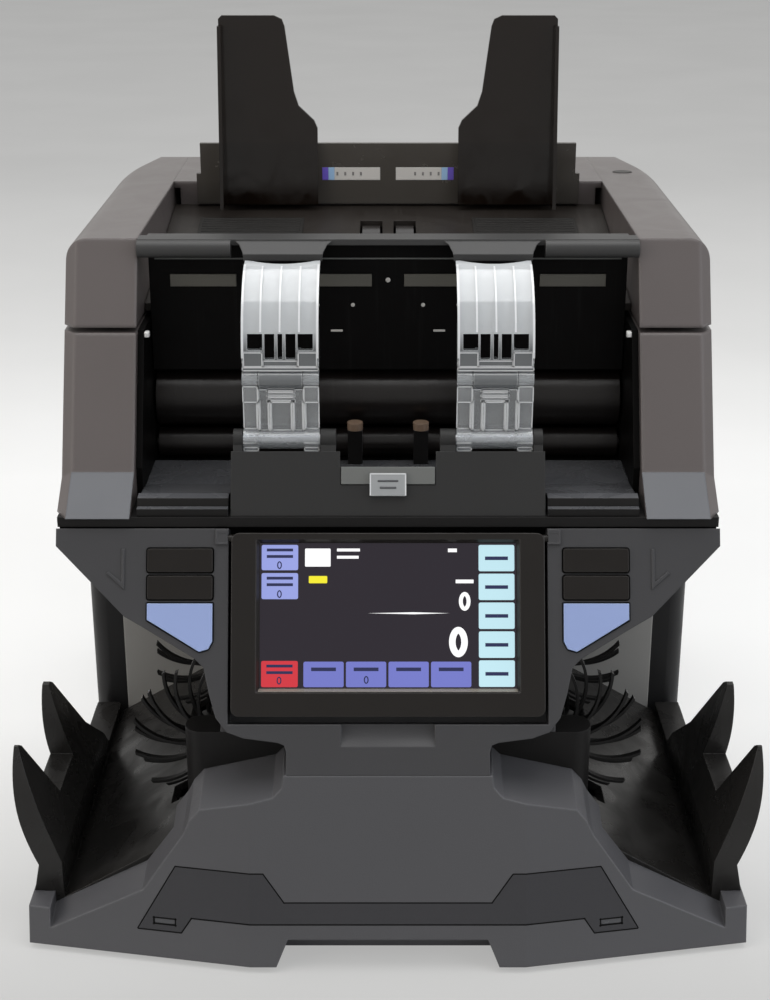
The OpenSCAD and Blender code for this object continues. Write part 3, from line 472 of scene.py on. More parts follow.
@dataclass(frozen=True)
class Lit(Finish):
    """A lit area of the screen, whose brightness drifts slowly."""

    strength: float = 1.0

    def build(self, shared: SharedEffects) -> Material:
        """Builds the material.

        Args:
            shared: the shader groups.

        Returns:
            The finished material.
        """
        c = self.start(
            shared, 6000.0, 60.0, Roughness=0.25, Emission_Strength=self.strength,
            Base_Color=shade(self.colour, 0.15),
        )
        tone = c.tree.blend(shade(self.colour, 0.9), shade(self.colour, 1.1))
        c.tree.wire((c.surface, "Drift", tone, "Factor"), (tone, MIX_OUT, c.shader, "Emission Color"))
        return c.material


class Palette:
    """All finishes of the machine, built once."""

    def __init__(self) -> None:
        """Builds the materials by name."""
        shared = SharedEffects()
        finishes: list[Moulded | Clear | Lit] = [
            Moulded("case_grey", (80, 80, 83), 0.42, grain=0.3, edge=1.1, edge_highlight=0.45, specular=0.4),
            Moulded("housing_grey", (154, 153, 150), 0.5, grain=0.25, edge=0.8, specular=0.4),
            Moulded("cover_grey", (95, 89, 88), 0.32, grain=0.14, smudge=0.06, edge=2.0, edge_highlight=0.25,
                    coat=0.12, specular=0.4),
            # Painted sheen of the lower covers' sloping foot.
            Moulded("chin_grey", (84, 86, 91), 0.34, grain=0.14, smudge=0.06, specular=0.4),
            Moulded("bar_grey", (62, 62, 62), 0.4, grain=0.1, smudge=0.05, edge=0.6, edge_highlight=0.4,
                    specular=0.3),
            Moulded("panel_grey", (64, 64, 66), 0.44, grain=0.22, edge=0.8, edge_highlight=0.35, specular=0.3),
            Moulded("inlay_grey", (58, 58, 61), 0.5, grain=0.45, grain_scale=900.0, specular=0.3),
            Moulded("tray_black", (9, 8, 8), 0.48, grain=0.2, scuff=0.10, specular=0.08, edge_highlight=0.1),
            # Glossy black reject tray: its pale grey and strong colour drift are a painted reflection.
            Moulded("tray_gloss", (82, 83, 86), 0.26, grain=0.1, drift=0.4, smudge=0.4, smudge_scale=60.0,
                    scuff=0.1, coat=0.3),
            Moulded("pocket_black", (32, 31, 30), 0.36, grain=0.25, drift=0.4, smudge=0.3, scuff=0.1,
                    specular=0.35),
            Moulded("bezel_black", (27, 24, 22), 0.34, grain=0.12, edge=0.7, edge_highlight=1.0, specular=0.3),
            Moulded("plate_grey", (44, 44, 44), 0.5, grain=0.2, specular=0.25),
            Moulded("frame_black", (20, 19, 19), 0.48, grain=0.3, specular=0.25),
            Moulded("pod_grey", (28, 28, 29), 0.44, grain=0.25, specular=0.3),
            Moulded("roller_rubber", (24, 20, 19), 0.34, grain=0.4, grain_scale=700.0, scuff=0.15,
                    specular=0.4, edge_highlight=0.1),
            Moulded("wheel_rubber", (13, 12, 12), 0.46, grain=0.15, edge=0.3, edge_highlight=0.3, specular=0.35),
            Moulded("key_black", (27, 24, 22), 0.40, grain=0.12, specular=0.25, edge_highlight=1.0),
            Moulded("key_blue", (151, 169, 216), 0.42, grain=0.08, edge_highlight=0.4),
            Moulded("strip_pale", (88, 86, 79), 0.5, grain=0.1),
            Moulded("strip_cool", (104, 106, 104), 0.4, grain=0.1),
            Moulded("sensor_bronze", (140, 118, 100), 0.35, grain=0.2),
            Moulded("bed_brown", (36, 32, 29), 0.42, grain=0.2, scuff=0.25, specular=0.3),
            Moulded("pad_brown", (22, 20, 18), 0.6, grain=0.5, grain_scale=900.0, specular=0.3),
            Moulded("steel", (178, 178, 182), 0.28, metallic=1.0, grain=0.12, grain_scale=2600.0),
            Moulded("sheet_metal", (180, 180, 182), 0.35, metallic=1.0, grain=0.1),
            Moulded("board_green", (22, 78, 40), 0.45, grain=0.1),
            Moulded("foot_rubber", (16, 16, 16), 0.7, grain=0.6),
            Moulded("lens_grey", (78, 79, 82), 0.25, grain=0.02),
            Moulded("gap_black", (12, 12, 12), 0.6, grain=0.1, specular=0.1, edge_highlight=0.0),
            Moulded("lip_grey", (118, 113, 105), 0.3, grain=0.05),
            Moulded("label_white", (206, 203, 198), 0.4, grain=0.03),
            Moulded("label_violet", (116, 96, 206), 0.4, grain=0.03),
            Moulded("label_blue", (160, 196, 232), 0.4, grain=0.03),
            Moulded("tick_grey", (128, 126, 124), 0.45, grain=0.03),
            Moulded("buffer_white", (232, 232, 230), 0.35, grain=0.05),
            Clear("clear_plastic", (205, 209, 211), 0.07, transmission=0.5, edge=0.6, coat=0.6),
            Clear("arm_clear", (236, 240, 243), 0.04, transmission=0.8, ripple=0.02, coat=0.5),
            # Upper arm links: a painted reflection above 225.5 mm and painted highlights along the edges.
            Clear("arm_painted_sheen", (140, 144, 147), 0.10, transmission=0.5, ripple=0.06, coat=0.8, edge=0.8,
                  reflection_low=225.5, reflection_high=233.0),
            Clear("arm_rib", (250, 252, 254), 0.05, transmission=0.3, ripple=0.02, coat=1.0),
            Clear("smoked_plastic", (30, 22, 17), 0.12, transmission=0.5, ripple=0.03, specular=0.3),
            Clear("smoked_bar", (88, 84, 79), 0.16, transmission=0.35, ripple=0.03, specular=0.3),
            Lit("screen_dark", (28, 21, 33), 0.9),
            Lit("tile_blue", (112, 118, 196), 0.9),
            Lit("tile_light", (150, 160, 224), 0.9),
            Lit("tile_red", (206, 48, 60), 0.9),
            Lit("tile_pale", (188, 224, 234), 0.95),
            Lit("sign_white", (250, 250, 252), 1.0),
            Lit("sign_dark", (38, 44, 92), 0.6),
            Lit("sign_yellow", (236, 226, 40), 0.95),
        ]
        self.materials = {finish.name: finish.build(shared) for finish in finishes}

    def dress(self, obj: Object, name: str) -> None:
        """Puts one finish on all of a CAD node or a new piece."""
        obj.data.materials.clear()
        obj.data.materials.append(self.materials[name])

    def dress_nodes(self, finishes: dict[str, str]) -> None:
        """Puts each named CAD node's finish on it."""
        for node, finish in finishes.items():
            self.dress(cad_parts[node], finish)


@dataclass
class Frontage:
    """Planes and places that the machine's front shares with the solids, in millimetres and degrees."""

    depth: float = 316.0
    panel_lean: float = 25.0
    display_z: float = 131.0
    seam_z: float = 75.3
    foot_h: float = 2.5
    front_lean: float = 15.0
    sweep_x: float = 53.0
    sweep_turn: float = 10.3

    def behind(self, z: float) -> float:
        """How far the base's leaning front lies behind its foot at a height."""
        return (z - self.foot_h) * math.tan(math.radians(self.front_lean))

    def point(self, x: float, y: float, z: float) -> Vector:
        """Turns millimetres across, back from the base's front edge and up into metres in the row frame."""
        return Vector((x, y - self.depth / 2, z)) * MM

    def at(self, x: float, y: float, z: float) -> Matrix:
        """Level frame at a point, given as for point."""
        return Matrix.Translation(self.point(x, y, z))

    def upright(self, x: float, y: float, z: float) -> Matrix:
        """Frame at a point with Z to the front, for marks on an upright face."""
        return self.at(x, y, z) @ Matrix.Rotation(math.pi / 2, 4, "X")

    def panel(self) -> Matrix:
        """Frame of the display panel, with Z out of it."""
        rise = (self.display_z - self.seam_z) * math.tan(math.radians(self.panel_lean))
        middle = self.at(0, self.behind(self.seam_z) + rise, self.display_z)
        return middle @ Matrix.Rotation(math.radians(90 - self.panel_lean), 4, "X")


class Maker:
    """Builds small pieces with bmesh operators and puts them on a body."""

    def __init__(self, palette: Palette) -> None:
        """Keeps the palette.

        Args:
            palette: the finishes.
        """
        self.palette = palette

    def piece(self, name: str, mesh: BMesh, finish: str, body: str, slot: str) -> None:
        """Turns a bmesh into a dressed piece that rides on a body.

        Args:
            name: the piece's name.
            mesh: the finished bmesh, which is freed.
            finish: name of the finish.
            body: the body that carries it.
            slot: the record's material slot; not used.
        """
        bmesh.ops.recalc_face_normals(mesh, faces=mesh.faces)
        obj = settle(name, mesh)
        self.palette.dress(obj, finish)
        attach(obj, body)
        LOG.info("%s rides on %s", name, body)

    @staticmethod
    def raised(mesh: BMesh, faces: list[BMFace], by: Vector) -> list[BMVert]:
        """Extrudes faces into a layer.

        Args:
            mesh: the bmesh.
            faces: its faces, which become the layer's underside.
            by: the layer's thickness and direction, in metres.

        Returns:
            The corners of its upper side.
        """
        grown = bmesh.ops.extrude_face_region(mesh, geom=faces)
        top = [e for e in grown["geom"] if isinstance(e, BMVert)]
        bmesh.ops.translate(mesh, verts=top, vec=by)
        return top

    @staticmethod
    def softened(
        mesh: BMesh, verts: list[BMVert], is_rim: Callable[[BMEdge], bool],
        width: float,
    ) -> list[BMVert]:
        """Bevels some of the edges at given corners.

        Args:
            mesh: the bmesh.
            verts: the corners.
            is_rim: tells which edges to bevel.
            width: width of the bevel, in millimetres, or 0 for none.

        Returns:
            The corners that are left, with the new ones.
        """
        if width <= 0:
            return verts
        rim = [e for e in dict.fromkeys(edge for v in verts for edge in v.link_edges) if is_rim(e)]
        made = bmesh.ops.bevel(
            mesh, geom=rim, offset=width * MM, affect="EDGES", segments=2, profile=0.5, material=-1
        )
        return list(dict.fromkeys([v for v in verts if v.is_valid] + made["verts"]))

    def plate(
        self, mesh: BMesh, outline: list[Point], z: Point, place: Matrix, soften: float = 0.0
    ) -> None:
        """Adds a flat plate with the given outline.

        Args:
            mesh: the bmesh that takes it.
            outline: corners in millimetres in the plane of place.
            z: heights of its back and its face, in millimetres.
            place: frame of the plane, in metres.
            soften: width of the bevel round its face, in millimetres.
        """
        low, high = z
        corners = [mesh.verts.new((x * MM, y * MM, low * MM)) for x, y in outline]
        top = self.raised(mesh, [mesh.faces.new(corners)], Vector((0, 0, (high - low) * MM)))
        face = set(top)
        verts = self.softened(mesh, corners + top, lambda e: face.issuperset(e.verts), soften)
        bmesh.ops.transform(mesh, matrix=place, verts=verts)

    def box(
        self, mesh: BMesh, x: Point, y: Point, z: Point, place: Matrix, soften: float = 0.0,
        corner: float = 0.0,
    ) -> None:
        """Adds a rectangular plate.

        Args:
            mesh: the bmesh that takes it.
            x: its left and right edge, in millimetres in the plane of place.
            y: its lower and upper edge.
            z: heights of its back and its face.
            place: frame of the plane, in metres.
            soften: width of the bevel round its face.
            corner: size of the cut of its corners.
        """
        self.plate(mesh, self.box_outline(x, y, corner), z, place, soften)

    @staticmethod
    def box_outline(x: Point, y: Point, corner: float = 0.0) -> list[Point]:
        """Outline of a rectangle, with cut corners if asked.

        Args:
            x: left and right edge.
            y: lower and upper edge.
            corner: size of the corner cut.

        Returns:
            The corners in order.
        """
        (x0, x1), (y0, y1) = x, y
        if corner <= 0:
            return [(x0, y0), (x1, y0), (x1, y1), (x0, y1)]
        c = corner
        k = 0.3 * c
        return [
            (x0 + c, y0), (x1 - c, y0), (x1 - k, y0 + k), (x1, y0 + c), (x1, y1 - c), (x1 - k, y1 - k),
            (x1 - c, y1), (x0 + c, y1), (x0 + k, y1 - k), (x0, y1 - c), (x0, y0 + c), (x0 + k, y0 + k),
        ]

    def rod(
        self, mesh: BMesh, radius: float, z: Point, place: Matrix, soften: float, sides: int
    ) -> None:
        """Adds a round rod along Z of place.

        Args:
            mesh: the bmesh that takes it.
            radius: in millimetres.
            z: its start and end along Z, in millimetres.
            place: frame, in metres.
            soften: bevel of its end edges, in millimetres.
            sides: number of sides.
        """
        low, high = z
        made = bmesh.ops.create_cone(
            mesh, cap_ends=True, segments=sides, radius1=radius * MM, radius2=radius * MM,
            depth=(high - low) * MM,
        )
        level = 1e-9
        verts = self.softened(
            mesh, made["verts"], lambda e: abs(e.verts[0].co.z - e.verts[1].co.z) < level, soften
        )
        shift = Matrix.Translation((0, 0, (low + high) / 2 * MM))
        bmesh.ops.transform(mesh, matrix=place @ shift, verts=verts)

    @staticmethod
    def oval(
        mesh: BMesh, radius: float, stretch: float, rim: float, sides: int
    ) -> tuple[BMFace, list[BMFace]]:
        """Adds a flat oval with a rim, round the origin.

        Args:
            mesh: the bmesh that takes it.
            radius: half its height, in millimetres.
            stretch: its width over its height.
            rim: width of the rim, in millimetres.
            sides: number of sides.

        Returns:
            Its middle face and the faces of its rim.
        """
        verts = bmesh.ops.create_circle(mesh, cap_ends=True, segments=sides, radius=radius * MM)["verts"]
        bmesh.ops.scale(mesh, vec=(stretch, 1, 1), verts=verts)
        middle = verts[0].link_faces[0]
        ring = bmesh.ops.inset_region(
            mesh, faces=[middle], thickness=rim * MM, use_boundary=True, use_even_offset=True
        )
        return middle, ring["faces"]

    @staticmethod
    @contextmanager
    def faces(node: str, pick: Callable[[BMFace], bool]) -> Iterator[list[BMFace]]:
        """Lends some faces of a solid, with its corners joined.

        Args:
            node: the CAD node.
            pick: tells which faces.

        Yields:
            The faces, on a copy of the solid's mesh.
        """
        copy = bmesh.new()
        copy.from_mesh(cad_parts[node].data)
        bmesh.ops.remove_doubles(copy, verts=copy.verts, dist=1e-6)
        copy.verts.index_update()
        copy.normal_update()
        yield [face for face in copy.faces if pick(face)]
        copy.free()

    def skin(self, mesh: BMesh, faces: list[BMFace], lift: float) -> None:
        """Adds a thin layer over some faces of another mesh.

        Args:
            mesh: the bmesh that takes it.
            faces: faces of the other mesh.
            lift: its thickness, in millimetres.
        """
        made: dict[int, BMVert] = {}
        copies = []
        for face in faces:
            for vert in face.verts:
                if vert.index not in made:
                    made[vert.index] = mesh.verts.new(vert.co)
            copies.append(mesh.faces.new([made[vert.index] for vert in face.verts]))
        out = sum((face.normal * face.calc_area() for face in faces), Vector()).normalized()
        self.raised(mesh, copies, out * lift * MM)

    def outline(
        self, mesh: BMesh, faces: list[BMFace], width: float, lift: float,
        keep: Callable[[Vector], bool] = lambda middle: True,
    ) -> None:
        """Adds a thin strip along the outer edges of some faces of another mesh.

        Args:
            mesh: the bmesh that takes it.
            faces: faces of the other mesh.
            width: width of the strip outside the faces, or inside them where negative, in millimetres.
            lift: how far it stands out of the faces, and reaches into them, in millimetres.
            keep: tells from an edge's middle, in metres, whether it gets a strip.
        """
        chosen = set(faces)
        for face in faces:
            for edge in face.edges:
                a, b = (v.co for v in edge.verts)
                if sum(f in chosen for f in edge.link_faces) != 1 or not keep((a + b) / 2):
                    continue
                out = (b - a).cross(face.normal).normalized()
                if out.dot(face.calc_center_median() - a) > 0:
                    out.negate()
                along = (b - a).normalized() * max(0.0, width) * MM / 2
                strip = [a - along, b + along, b + along + out * width * MM, a - along + out * width * MM]
                quad = mesh.faces.new([mesh.verts.new(co - face.normal * lift * MM) for co in strip])
                self.raised(mesh, [quad], face.normal * 2 * lift * MM)


@dataclass
class Casing:
    """Base, housings and covers."""

    front: Frontage
    maker: Maker
    finishes: dict[str, str] = field(default_factory=lambda: {
        "base_pan": "case_grey", "rear_housing": "housing_grey", "rear_panel": "case_grey",
        "front_inlay": "inlay_grey", "side_pods": "pod_grey", "transport_frame": "frame_black",
        "belly_plate": "frame_black", "left_lower_cover": "cover_grey", "right_lower_cover": "cover_grey",
        "left_upper_cover": "cover_grey", "right_upper_cover": "cover_grey", "front_bar": "bar_grey",
        "top_deck": "cover_grey", "feet": "foot_rubber", "hinge_brackets": "steel", "hinge_pins": "steel",
        "power_supply": "sheet_metal", "main_board": "board_green", "drive_motor": "steel",
        "power_inlet": "bezel_black", "power_switch": "key_black",
    })

    def build(self) -> None:
        """Dresses the housings and adds their small pieces."""
        self.maker.palette.dress_nodes(self.finishes)
        self.lenses()
        self.buffers()
        self.cover_plate()
        self.chins()
        self.inlay_gap()
        self.seals()
        self.screws()

    def lenses(self) -> None:
        """Small lenses in the two slots of the inlay."""
        x, z, inset = 86.5, 16.6, 0.35
        swept = (x - self.front.sweep_x) * math.tan(math.radians(self.front.sweep_turn))
        lean = Matrix.Rotation(math.radians(90 - self.front.front_lean), 4, "X")
        for side in Side:
            mesh = bmesh.new()
            turn = Matrix.Rotation(math.radians(side.value * self.front.sweep_turn), 4, "Z")
            place = self.front.at(side.value * x, swept + self.front.behind(z) + inset, z) @ turn @ lean
            self.maker.box(mesh, (-4.2, 4.2), (-1.1, 1.1), (-0.6, 0.1), place, 0.15, 0.5)
            self.maker.piece(f"{side.word}_lens", mesh, "lens_grey", "chassis", "clear_plastic")

    def buffers(self) -> None:
        """Pale rubber buffers at the front ends of the split between the covers."""
        mesh = bmesh.new()
        split = self.front.at(0, 0, 224.2)
        for side in Side:
            self.maker.box(mesh, side.span(94.3, 96.3), (103.6, 106.6), (0, 2.1), split, 0.5, 0.5)
        self.maker.piece("split_buffers", mesh, "buffer_white", "chassis", "pale_plastic")

    def cover_plate(self) -> None:
        """Small bare oval plate on the right cover's top."""
        mesh = bmesh.new()
        rise = 0.35
        middle, _ = self.maker.oval(mesh, 3.4, 1.4, 0.5, 40)
        bmesh.ops.translate(mesh, verts=middle.verts, vec=(0, 0, rise * MM))
        bmesh.ops.translate(mesh, verts=mesh.verts, vec=self.front.point(111.3, 264, 260.62))
        self.maker.piece("cover_plate", mesh, "bezel_black", "hopper_unit", "black_plastic")

    @staticmethod
    def is_chin(face: BMFace) -> bool:
        """Tells whether a lower cover's face is the sloping foot of its front."""
        to_front = face.normal.y < -0.3 and face.normal.z > 0.3 and abs(face.normal.x) < 0.2
        return to_front and face.calc_center_median().z < 185 * MM

    def chins(self) -> None:
        """Cooler grey strip along the foot of each lower cover's front, a painted sheen on that sloping
        face.
        """
        mesh = bmesh.new()
        for side in Side:
            with self.maker.faces(f"{side.word}_lower_cover", self.is_chin) as low:
                self.maker.skin(mesh, low, 0.15)
        self.maker.piece("cover_chins", mesh, "chin_grey", "chassis", "cover_grey")

    def inlay_gap(self) -> None:
        """Dark gap line round the front inlay."""
        mesh = bmesh.new()
        with self.maker.faces("front_inlay", lambda f: f.normal.y < -0.8 and f.normal.z > 0.1) as shown:
            self.maker.outline(mesh, shown, 0.45, 0.06)
        self.maker.piece("inlay_gap", mesh, "gap_black", "chassis", "black_plastic")

    def seals(self) -> None:
        """Foam strips below the belly plate, behind the upper edges of the wings and the display."""
        mesh = bmesh.new()
        top, thick = 160.9, 2.4
        wings = [(side.span(67.0, 126.9), 63.2, 157.5) for side in Side]
        for across, y, low in (*wings, ((-72.0, 72.0), 67.2, 154.0)):
            self.maker.box(mesh, across, (y, y + thick), (0, top - low), self.front.at(0, 0, low))
        self.maker.piece("wing_seals", mesh, "gap_black", "chassis", "soft_black")

    def screws(self) -> None:
        """Cross-head screws of the rear panel and the hinge brackets."""
        heads = bmesh.new()
        slots = bmesh.new()
        panel, bracket = (
            [v.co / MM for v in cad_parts[node].data.vertices]
            for node in ("rear_panel", "hinge_brackets")
        )
        inset = 7
        x_end = max(v.x for v in panel) - inset
        low, high = (f(v.z for v in panel) for f in (min, max))
        back = max(v.y for v in panel)
        rows = (low + inset, (low + high) / 2, high - inset)
        spots = [(s.value * x_end, back, z) for s in Side for z in rows]
        foot = min(v.z for v in bracket)
        leaf = max(v.y for v in bracket if v.z < foot + 1)
        holes = [(x, rise) for x in (76.25, 43.75) for rise in (4.5, 12.0)]
        spots += [(s.value * x, leaf, foot + rise) for s in Side for x, rise in holes]
        radius, reach, half = 2.5, 1.4, 0.3
        for spot in spots:
            place = Matrix.Translation(Vector(spot) * MM) @ Matrix.Rotation(-math.pi / 2, 4, "X")
            self.maker.rod(heads, radius, (-0.2, 1.2), place, 0.4, 24)
            for turn in (0.0, math.pi / 2):
                crossed = place @ Matrix.Rotation(turn, 4, "Z")
                self.maker.box(slots, (-reach, reach), (-half, half), (1.0, 1.25), crossed)
        self.maker.piece("screw_heads", heads, "steel", "chassis", "steel")
        self.maker.piece("screw_slots", slots, "gap_black", "chassis", "steel")


@dataclass
class KeyWings:
    """Panel wings with their keys and arrow marks."""

    front: Frontage
    maker: Maker
    arrow_x: float = 101.0
    # Where the panel's edges lie round the keys, and the line that leaves out the wing's lower edge.
    keys_x: Point = (66.0, 93.5)
    keys_y: Point = (-15.0, 26.0)
    edge_slope: float = 0.6
    edge_drop: float = 60.0
    # Boxes of a lid over a pivot on the right: the lid itself and its three feet, as ranges of X, Y and Z.
    lid: tuple[tuple[Point, Point, Point], ...] = (
        ((61.4, 66.2), (26.6, 32.4), (0.6, 0.75)),
        ((61.4, 66.2), (26.6, 27.1), (-0.1, 0.6)),
        ((61.4, 66.2), (30.9, 32.4), (-0.1, 0.6)),
        ((65.5, 66.2), (27.1, 30.9), (-0.1, 0.6)),
    )

    def build(self) -> None:
        """Dresses the panel and keys and adds arrow marks, gap lines and pivot lids."""
        self.maker.palette.dress_nodes({"wing_panel": "panel_grey", "key_modules": "frame_black"})
        for side in Side:
            self.maker.palette.dress_nodes({
                f"{side.word}_top_key": "key_black", f"{side.word}_mid_key": "key_black",
                f"{side.word}_start_key": "key_blue",
            })
            self.arrow(side)
        self.gaps()
        self.lids()

    def arrow(self, side: Side) -> None:
        """Raised arrow beside the keys, pointing down to the pocket.

        Args:
            side: the wing.
        """
        mesh = bmesh.new()
        shape = ((0, 25), (1.2, 25), (1.2, 12.2), (6.2, 16.4), (7.0, 15.4), (0, 9.2))
        outline = [(side.value * (self.arrow_x + x), y) for x, y in shape]
        self.maker.plate(mesh, outline, (-0.3, 0.45), self.front.panel(), 0.12)
        self.maker.piece(f"{side.word}_arrow", mesh, "panel_grey", "chassis", "panel_grey")

    def by_keys(self, middle: Vector) -> bool:
        """Tells whether an edge of the panel's face lies round a key, and not along the wing's lower edge.

        Args:
            middle: the edge's middle, in metres.

        Returns:
            True round a key.
        """
        spot = self.front.panel().inverted() @ middle / MM
        x, y = abs(spot.x), spot.y
        inside = self.keys_x[0] < x < self.keys_x[1] and self.keys_y[0] < y < self.keys_y[1]
        return inside and y > self.edge_slope * x - self.edge_drop

    def gaps(self) -> None:
        """Dark gap round each key."""
        mesh = bmesh.new()
        out = self.front.panel().to_3x3() @ Vector((0, 0, 1))
        with self.maker.faces("wing_panel", lambda f: f.normal.dot(out) > 0.999) as shown:
            self.maker.outline(mesh, shown, -0.28, 0.05, self.by_keys)
        self.maker.piece("key_gaps", mesh, "gap_black", "chassis", "black_plastic")

    def lids(self) -> None:
        """Lids over the display's pivots, clear of the pins."""
        mesh = bmesh.new()
        for side in Side:
            for x, y, z in self.lid:
                self.maker.box(mesh, side.span(*x), y, z, self.front.panel())
        self.maker.piece("pivot_lids", mesh, "panel_grey", "chassis", "panel_grey")


@dataclass
class DisplayUnit:
    """Tilting display with its lit screen, on which places are given in shares of its size."""

    front: Frontage
    maker: Maker
    half_w: float = 49.0
    low: float = -28.45
    high: float = 27.05
    face: float = -0.9
    low_pitch: float = 0.166
    right_pitch: float = 0.199
    low_keys: int = 4
    right_keys: int = 5
    left_key: Point = (0.005, 0.148)

    def build(self) -> None:
        """Dresses the bezel and draws the screen's tiles and figures."""
        self.maker.palette.dress_nodes({"display_bezel": "bezel_black", "lcd_panel": "screen_dark"})
        self.tiles()
        self.figures()
        self.marks()
        self.lip()

    def spot(self, x: float, y: float) -> Point:
        """Place on the screen in millimetres, from shares of its width and, from the top, its height."""
        return -self.half_w + 2 * self.half_w * x, self.high - (self.high - self.low) * y

    def area(self, x: Point, y: Point, corner: float = 0.6) -> list[Point]:
        """Outline of a screen area given in shares of the screen.

        Args:
            x: left and right share.
            y: upper and lower share.
            corner: corner cut, in millimetres.

        Returns:
            The corners in millimetres.
        """
        (x0, y1), (x1, y0) = self.spot(x[0], y[0]), self.spot(x[1], y[1])
        return self.maker.box_outline((x0, x1), (y0, y1), corner)

    def bar(self, x: Point, y: float, height: float) -> list[Point]:
        """Outline of a bar that stands for small words, from its edges' shares and its height's."""
        return self.area(x, (y, y + height), 0)

    def draw(self, name: str, areas: list[list[Point]], finish: str, height: float = 0.05) -> None:
        """Draws lit areas of one colour.

        Args:
            name: the piece's name.
            areas: outlines in millimetres.
            finish: the finish.
            height: thickness over the screen, in millimetres.
        """
        mesh = bmesh.new()
        for outline in areas:
            self.maker.plate(mesh, outline, (self.face - 0.15, self.face + height), self.front.panel(), 0.03)
        self.maker.piece(name, mesh, finish, "display", "screen")

    def tiles(self) -> None:
        """Soft keys round the screen's edge, with bars for their words."""
        low = [i * self.low_pitch for i in range(self.low_keys)]
        right = [i * self.right_pitch for i in range(self.right_keys)]
        blue = [self.area((0.17 + x, 0.327 + x), (0.815, 0.99)) for x in low]
        self.draw("screen_tiles_blue", blue, "tile_blue")
        left = [self.area(self.left_key, y) for y in ((0.01, 0.185), (0.205, 0.385))]
        self.draw("screen_tiles_light", left, "tile_light")
        self.draw("screen_tile_red", [self.area(self.left_key, (0.81, 0.99))], "tile_red")
        pale = [self.area((0.855, 0.995), (0.01 + y, 0.192 + y)) for y in right]
        self.draw("screen_tiles_pale", pale, "tile_pale")
        bars = [self.bar((0.025, 0.128), y, 0.02) for y in (0.035, 0.08, 0.23, 0.275, 0.835, 0.88)]
        bars += [self.bar((0.20 + x, 0.297 + x), 0.855, 0.025) for x in low]
        bars += [self.bar((0.88, 0.97), 0.09 + y, 0.025) for y in right]
        self.draw("screen_marks_dark", bars, "sign_dark", 0.09)

    def zero(self, mesh: BMesh, x: float, y: float, height: float, stroke: float) -> None:
        """Adds the figure nought as a tall ring.

        Args:
            mesh: the bmesh that takes it.
            x: middle across, as a share of the screen.
            y: middle from the top, as a share of the screen.
            height: its height in millimetres.
            stroke: its line width in millimetres.
        """
        known = set(mesh.verts)
        thick = 0.06
        disc, ring = self.maker.oval(mesh, height / 2, 0.62, stroke, 32)
        bmesh.ops.delete(mesh, geom=[disc], context="FACES_ONLY")
        self.maker.raised(mesh, ring, Vector((0, 0, thick * MM)))
        middle = Matrix.Translation(Vector((*self.spot(x, y), self.face + thick)) * MM)
        fresh = [v for v in mesh.verts if v not in known]
        bmesh.ops.transform(mesh, matrix=self.front.panel() @ middle, verts=fresh)

    def figures(self) -> None:
        """White and dark noughts, the bright line, the pale tile and the yellow one."""
        mesh = bmesh.new()
        self.zero(mesh, 0.80, 0.40, 7.2, 1.5)
        self.zero(mesh, 0.775, 0.68, 11.6, 2.5)
        self.maker.piece("screen_figures", mesh, "sign_white", "display", "screen")
        mesh = bmesh.new()
        for x, y in ((0.075, 0.15), (0.075, 0.35), (0.075, 0.945), (0.415, 0.94)):
            self.zero(mesh, x, y, 3.0, 0.45)
        self.maker.piece("screen_figures_dark", mesh, "sign_dark", "display", "screen")
        line = [self.spot(x, y) for x, y in ((0.42, 0.482), (0.60, 0.489), (0.74, 0.482), (0.60, 0.475))]
        self.draw("screen_line", [line, self.area((0.175, 0.275), (0.035, 0.16), 0.3)], "sign_white")
        self.draw("screen_mode", [self.area((0.19, 0.262), (0.225, 0.275), 0.3)], "sign_yellow")

    def marks(self) -> None:
        """Short bars where a screen of this kind has its small words."""
        words = (
            ((0.30, 0.39), (0.035, 0.055)), ((0.30, 0.385), (0.085, 0.105)), ((0.735, 0.77), (0.035, 0.06)),
            ((0.765, 0.835), (0.25, 0.275)),
        )
        self.draw("screen_marks_white", [self.area(x, y, 0) for x, y in words], "sign_white")

    def lip(self) -> None:
        """Painted highlight on the black bezel: a pale lower edge of the screen window, on the bezel's
        slope.
        """
        mesh = bmesh.new()
        foot, end = self.low, self.half_w + 0.6
        slope = [(foot, -1.0), (foot - 1.2, 0.75), (foot - 1.2, 0.35), (foot, -1.3)]
        self.maker.plate(mesh, slope, (-end, end), self.front.panel() @ TURN)
        self.maker.piece("screen_lip", mesh, "lip_grey", "display", "black_plastic")


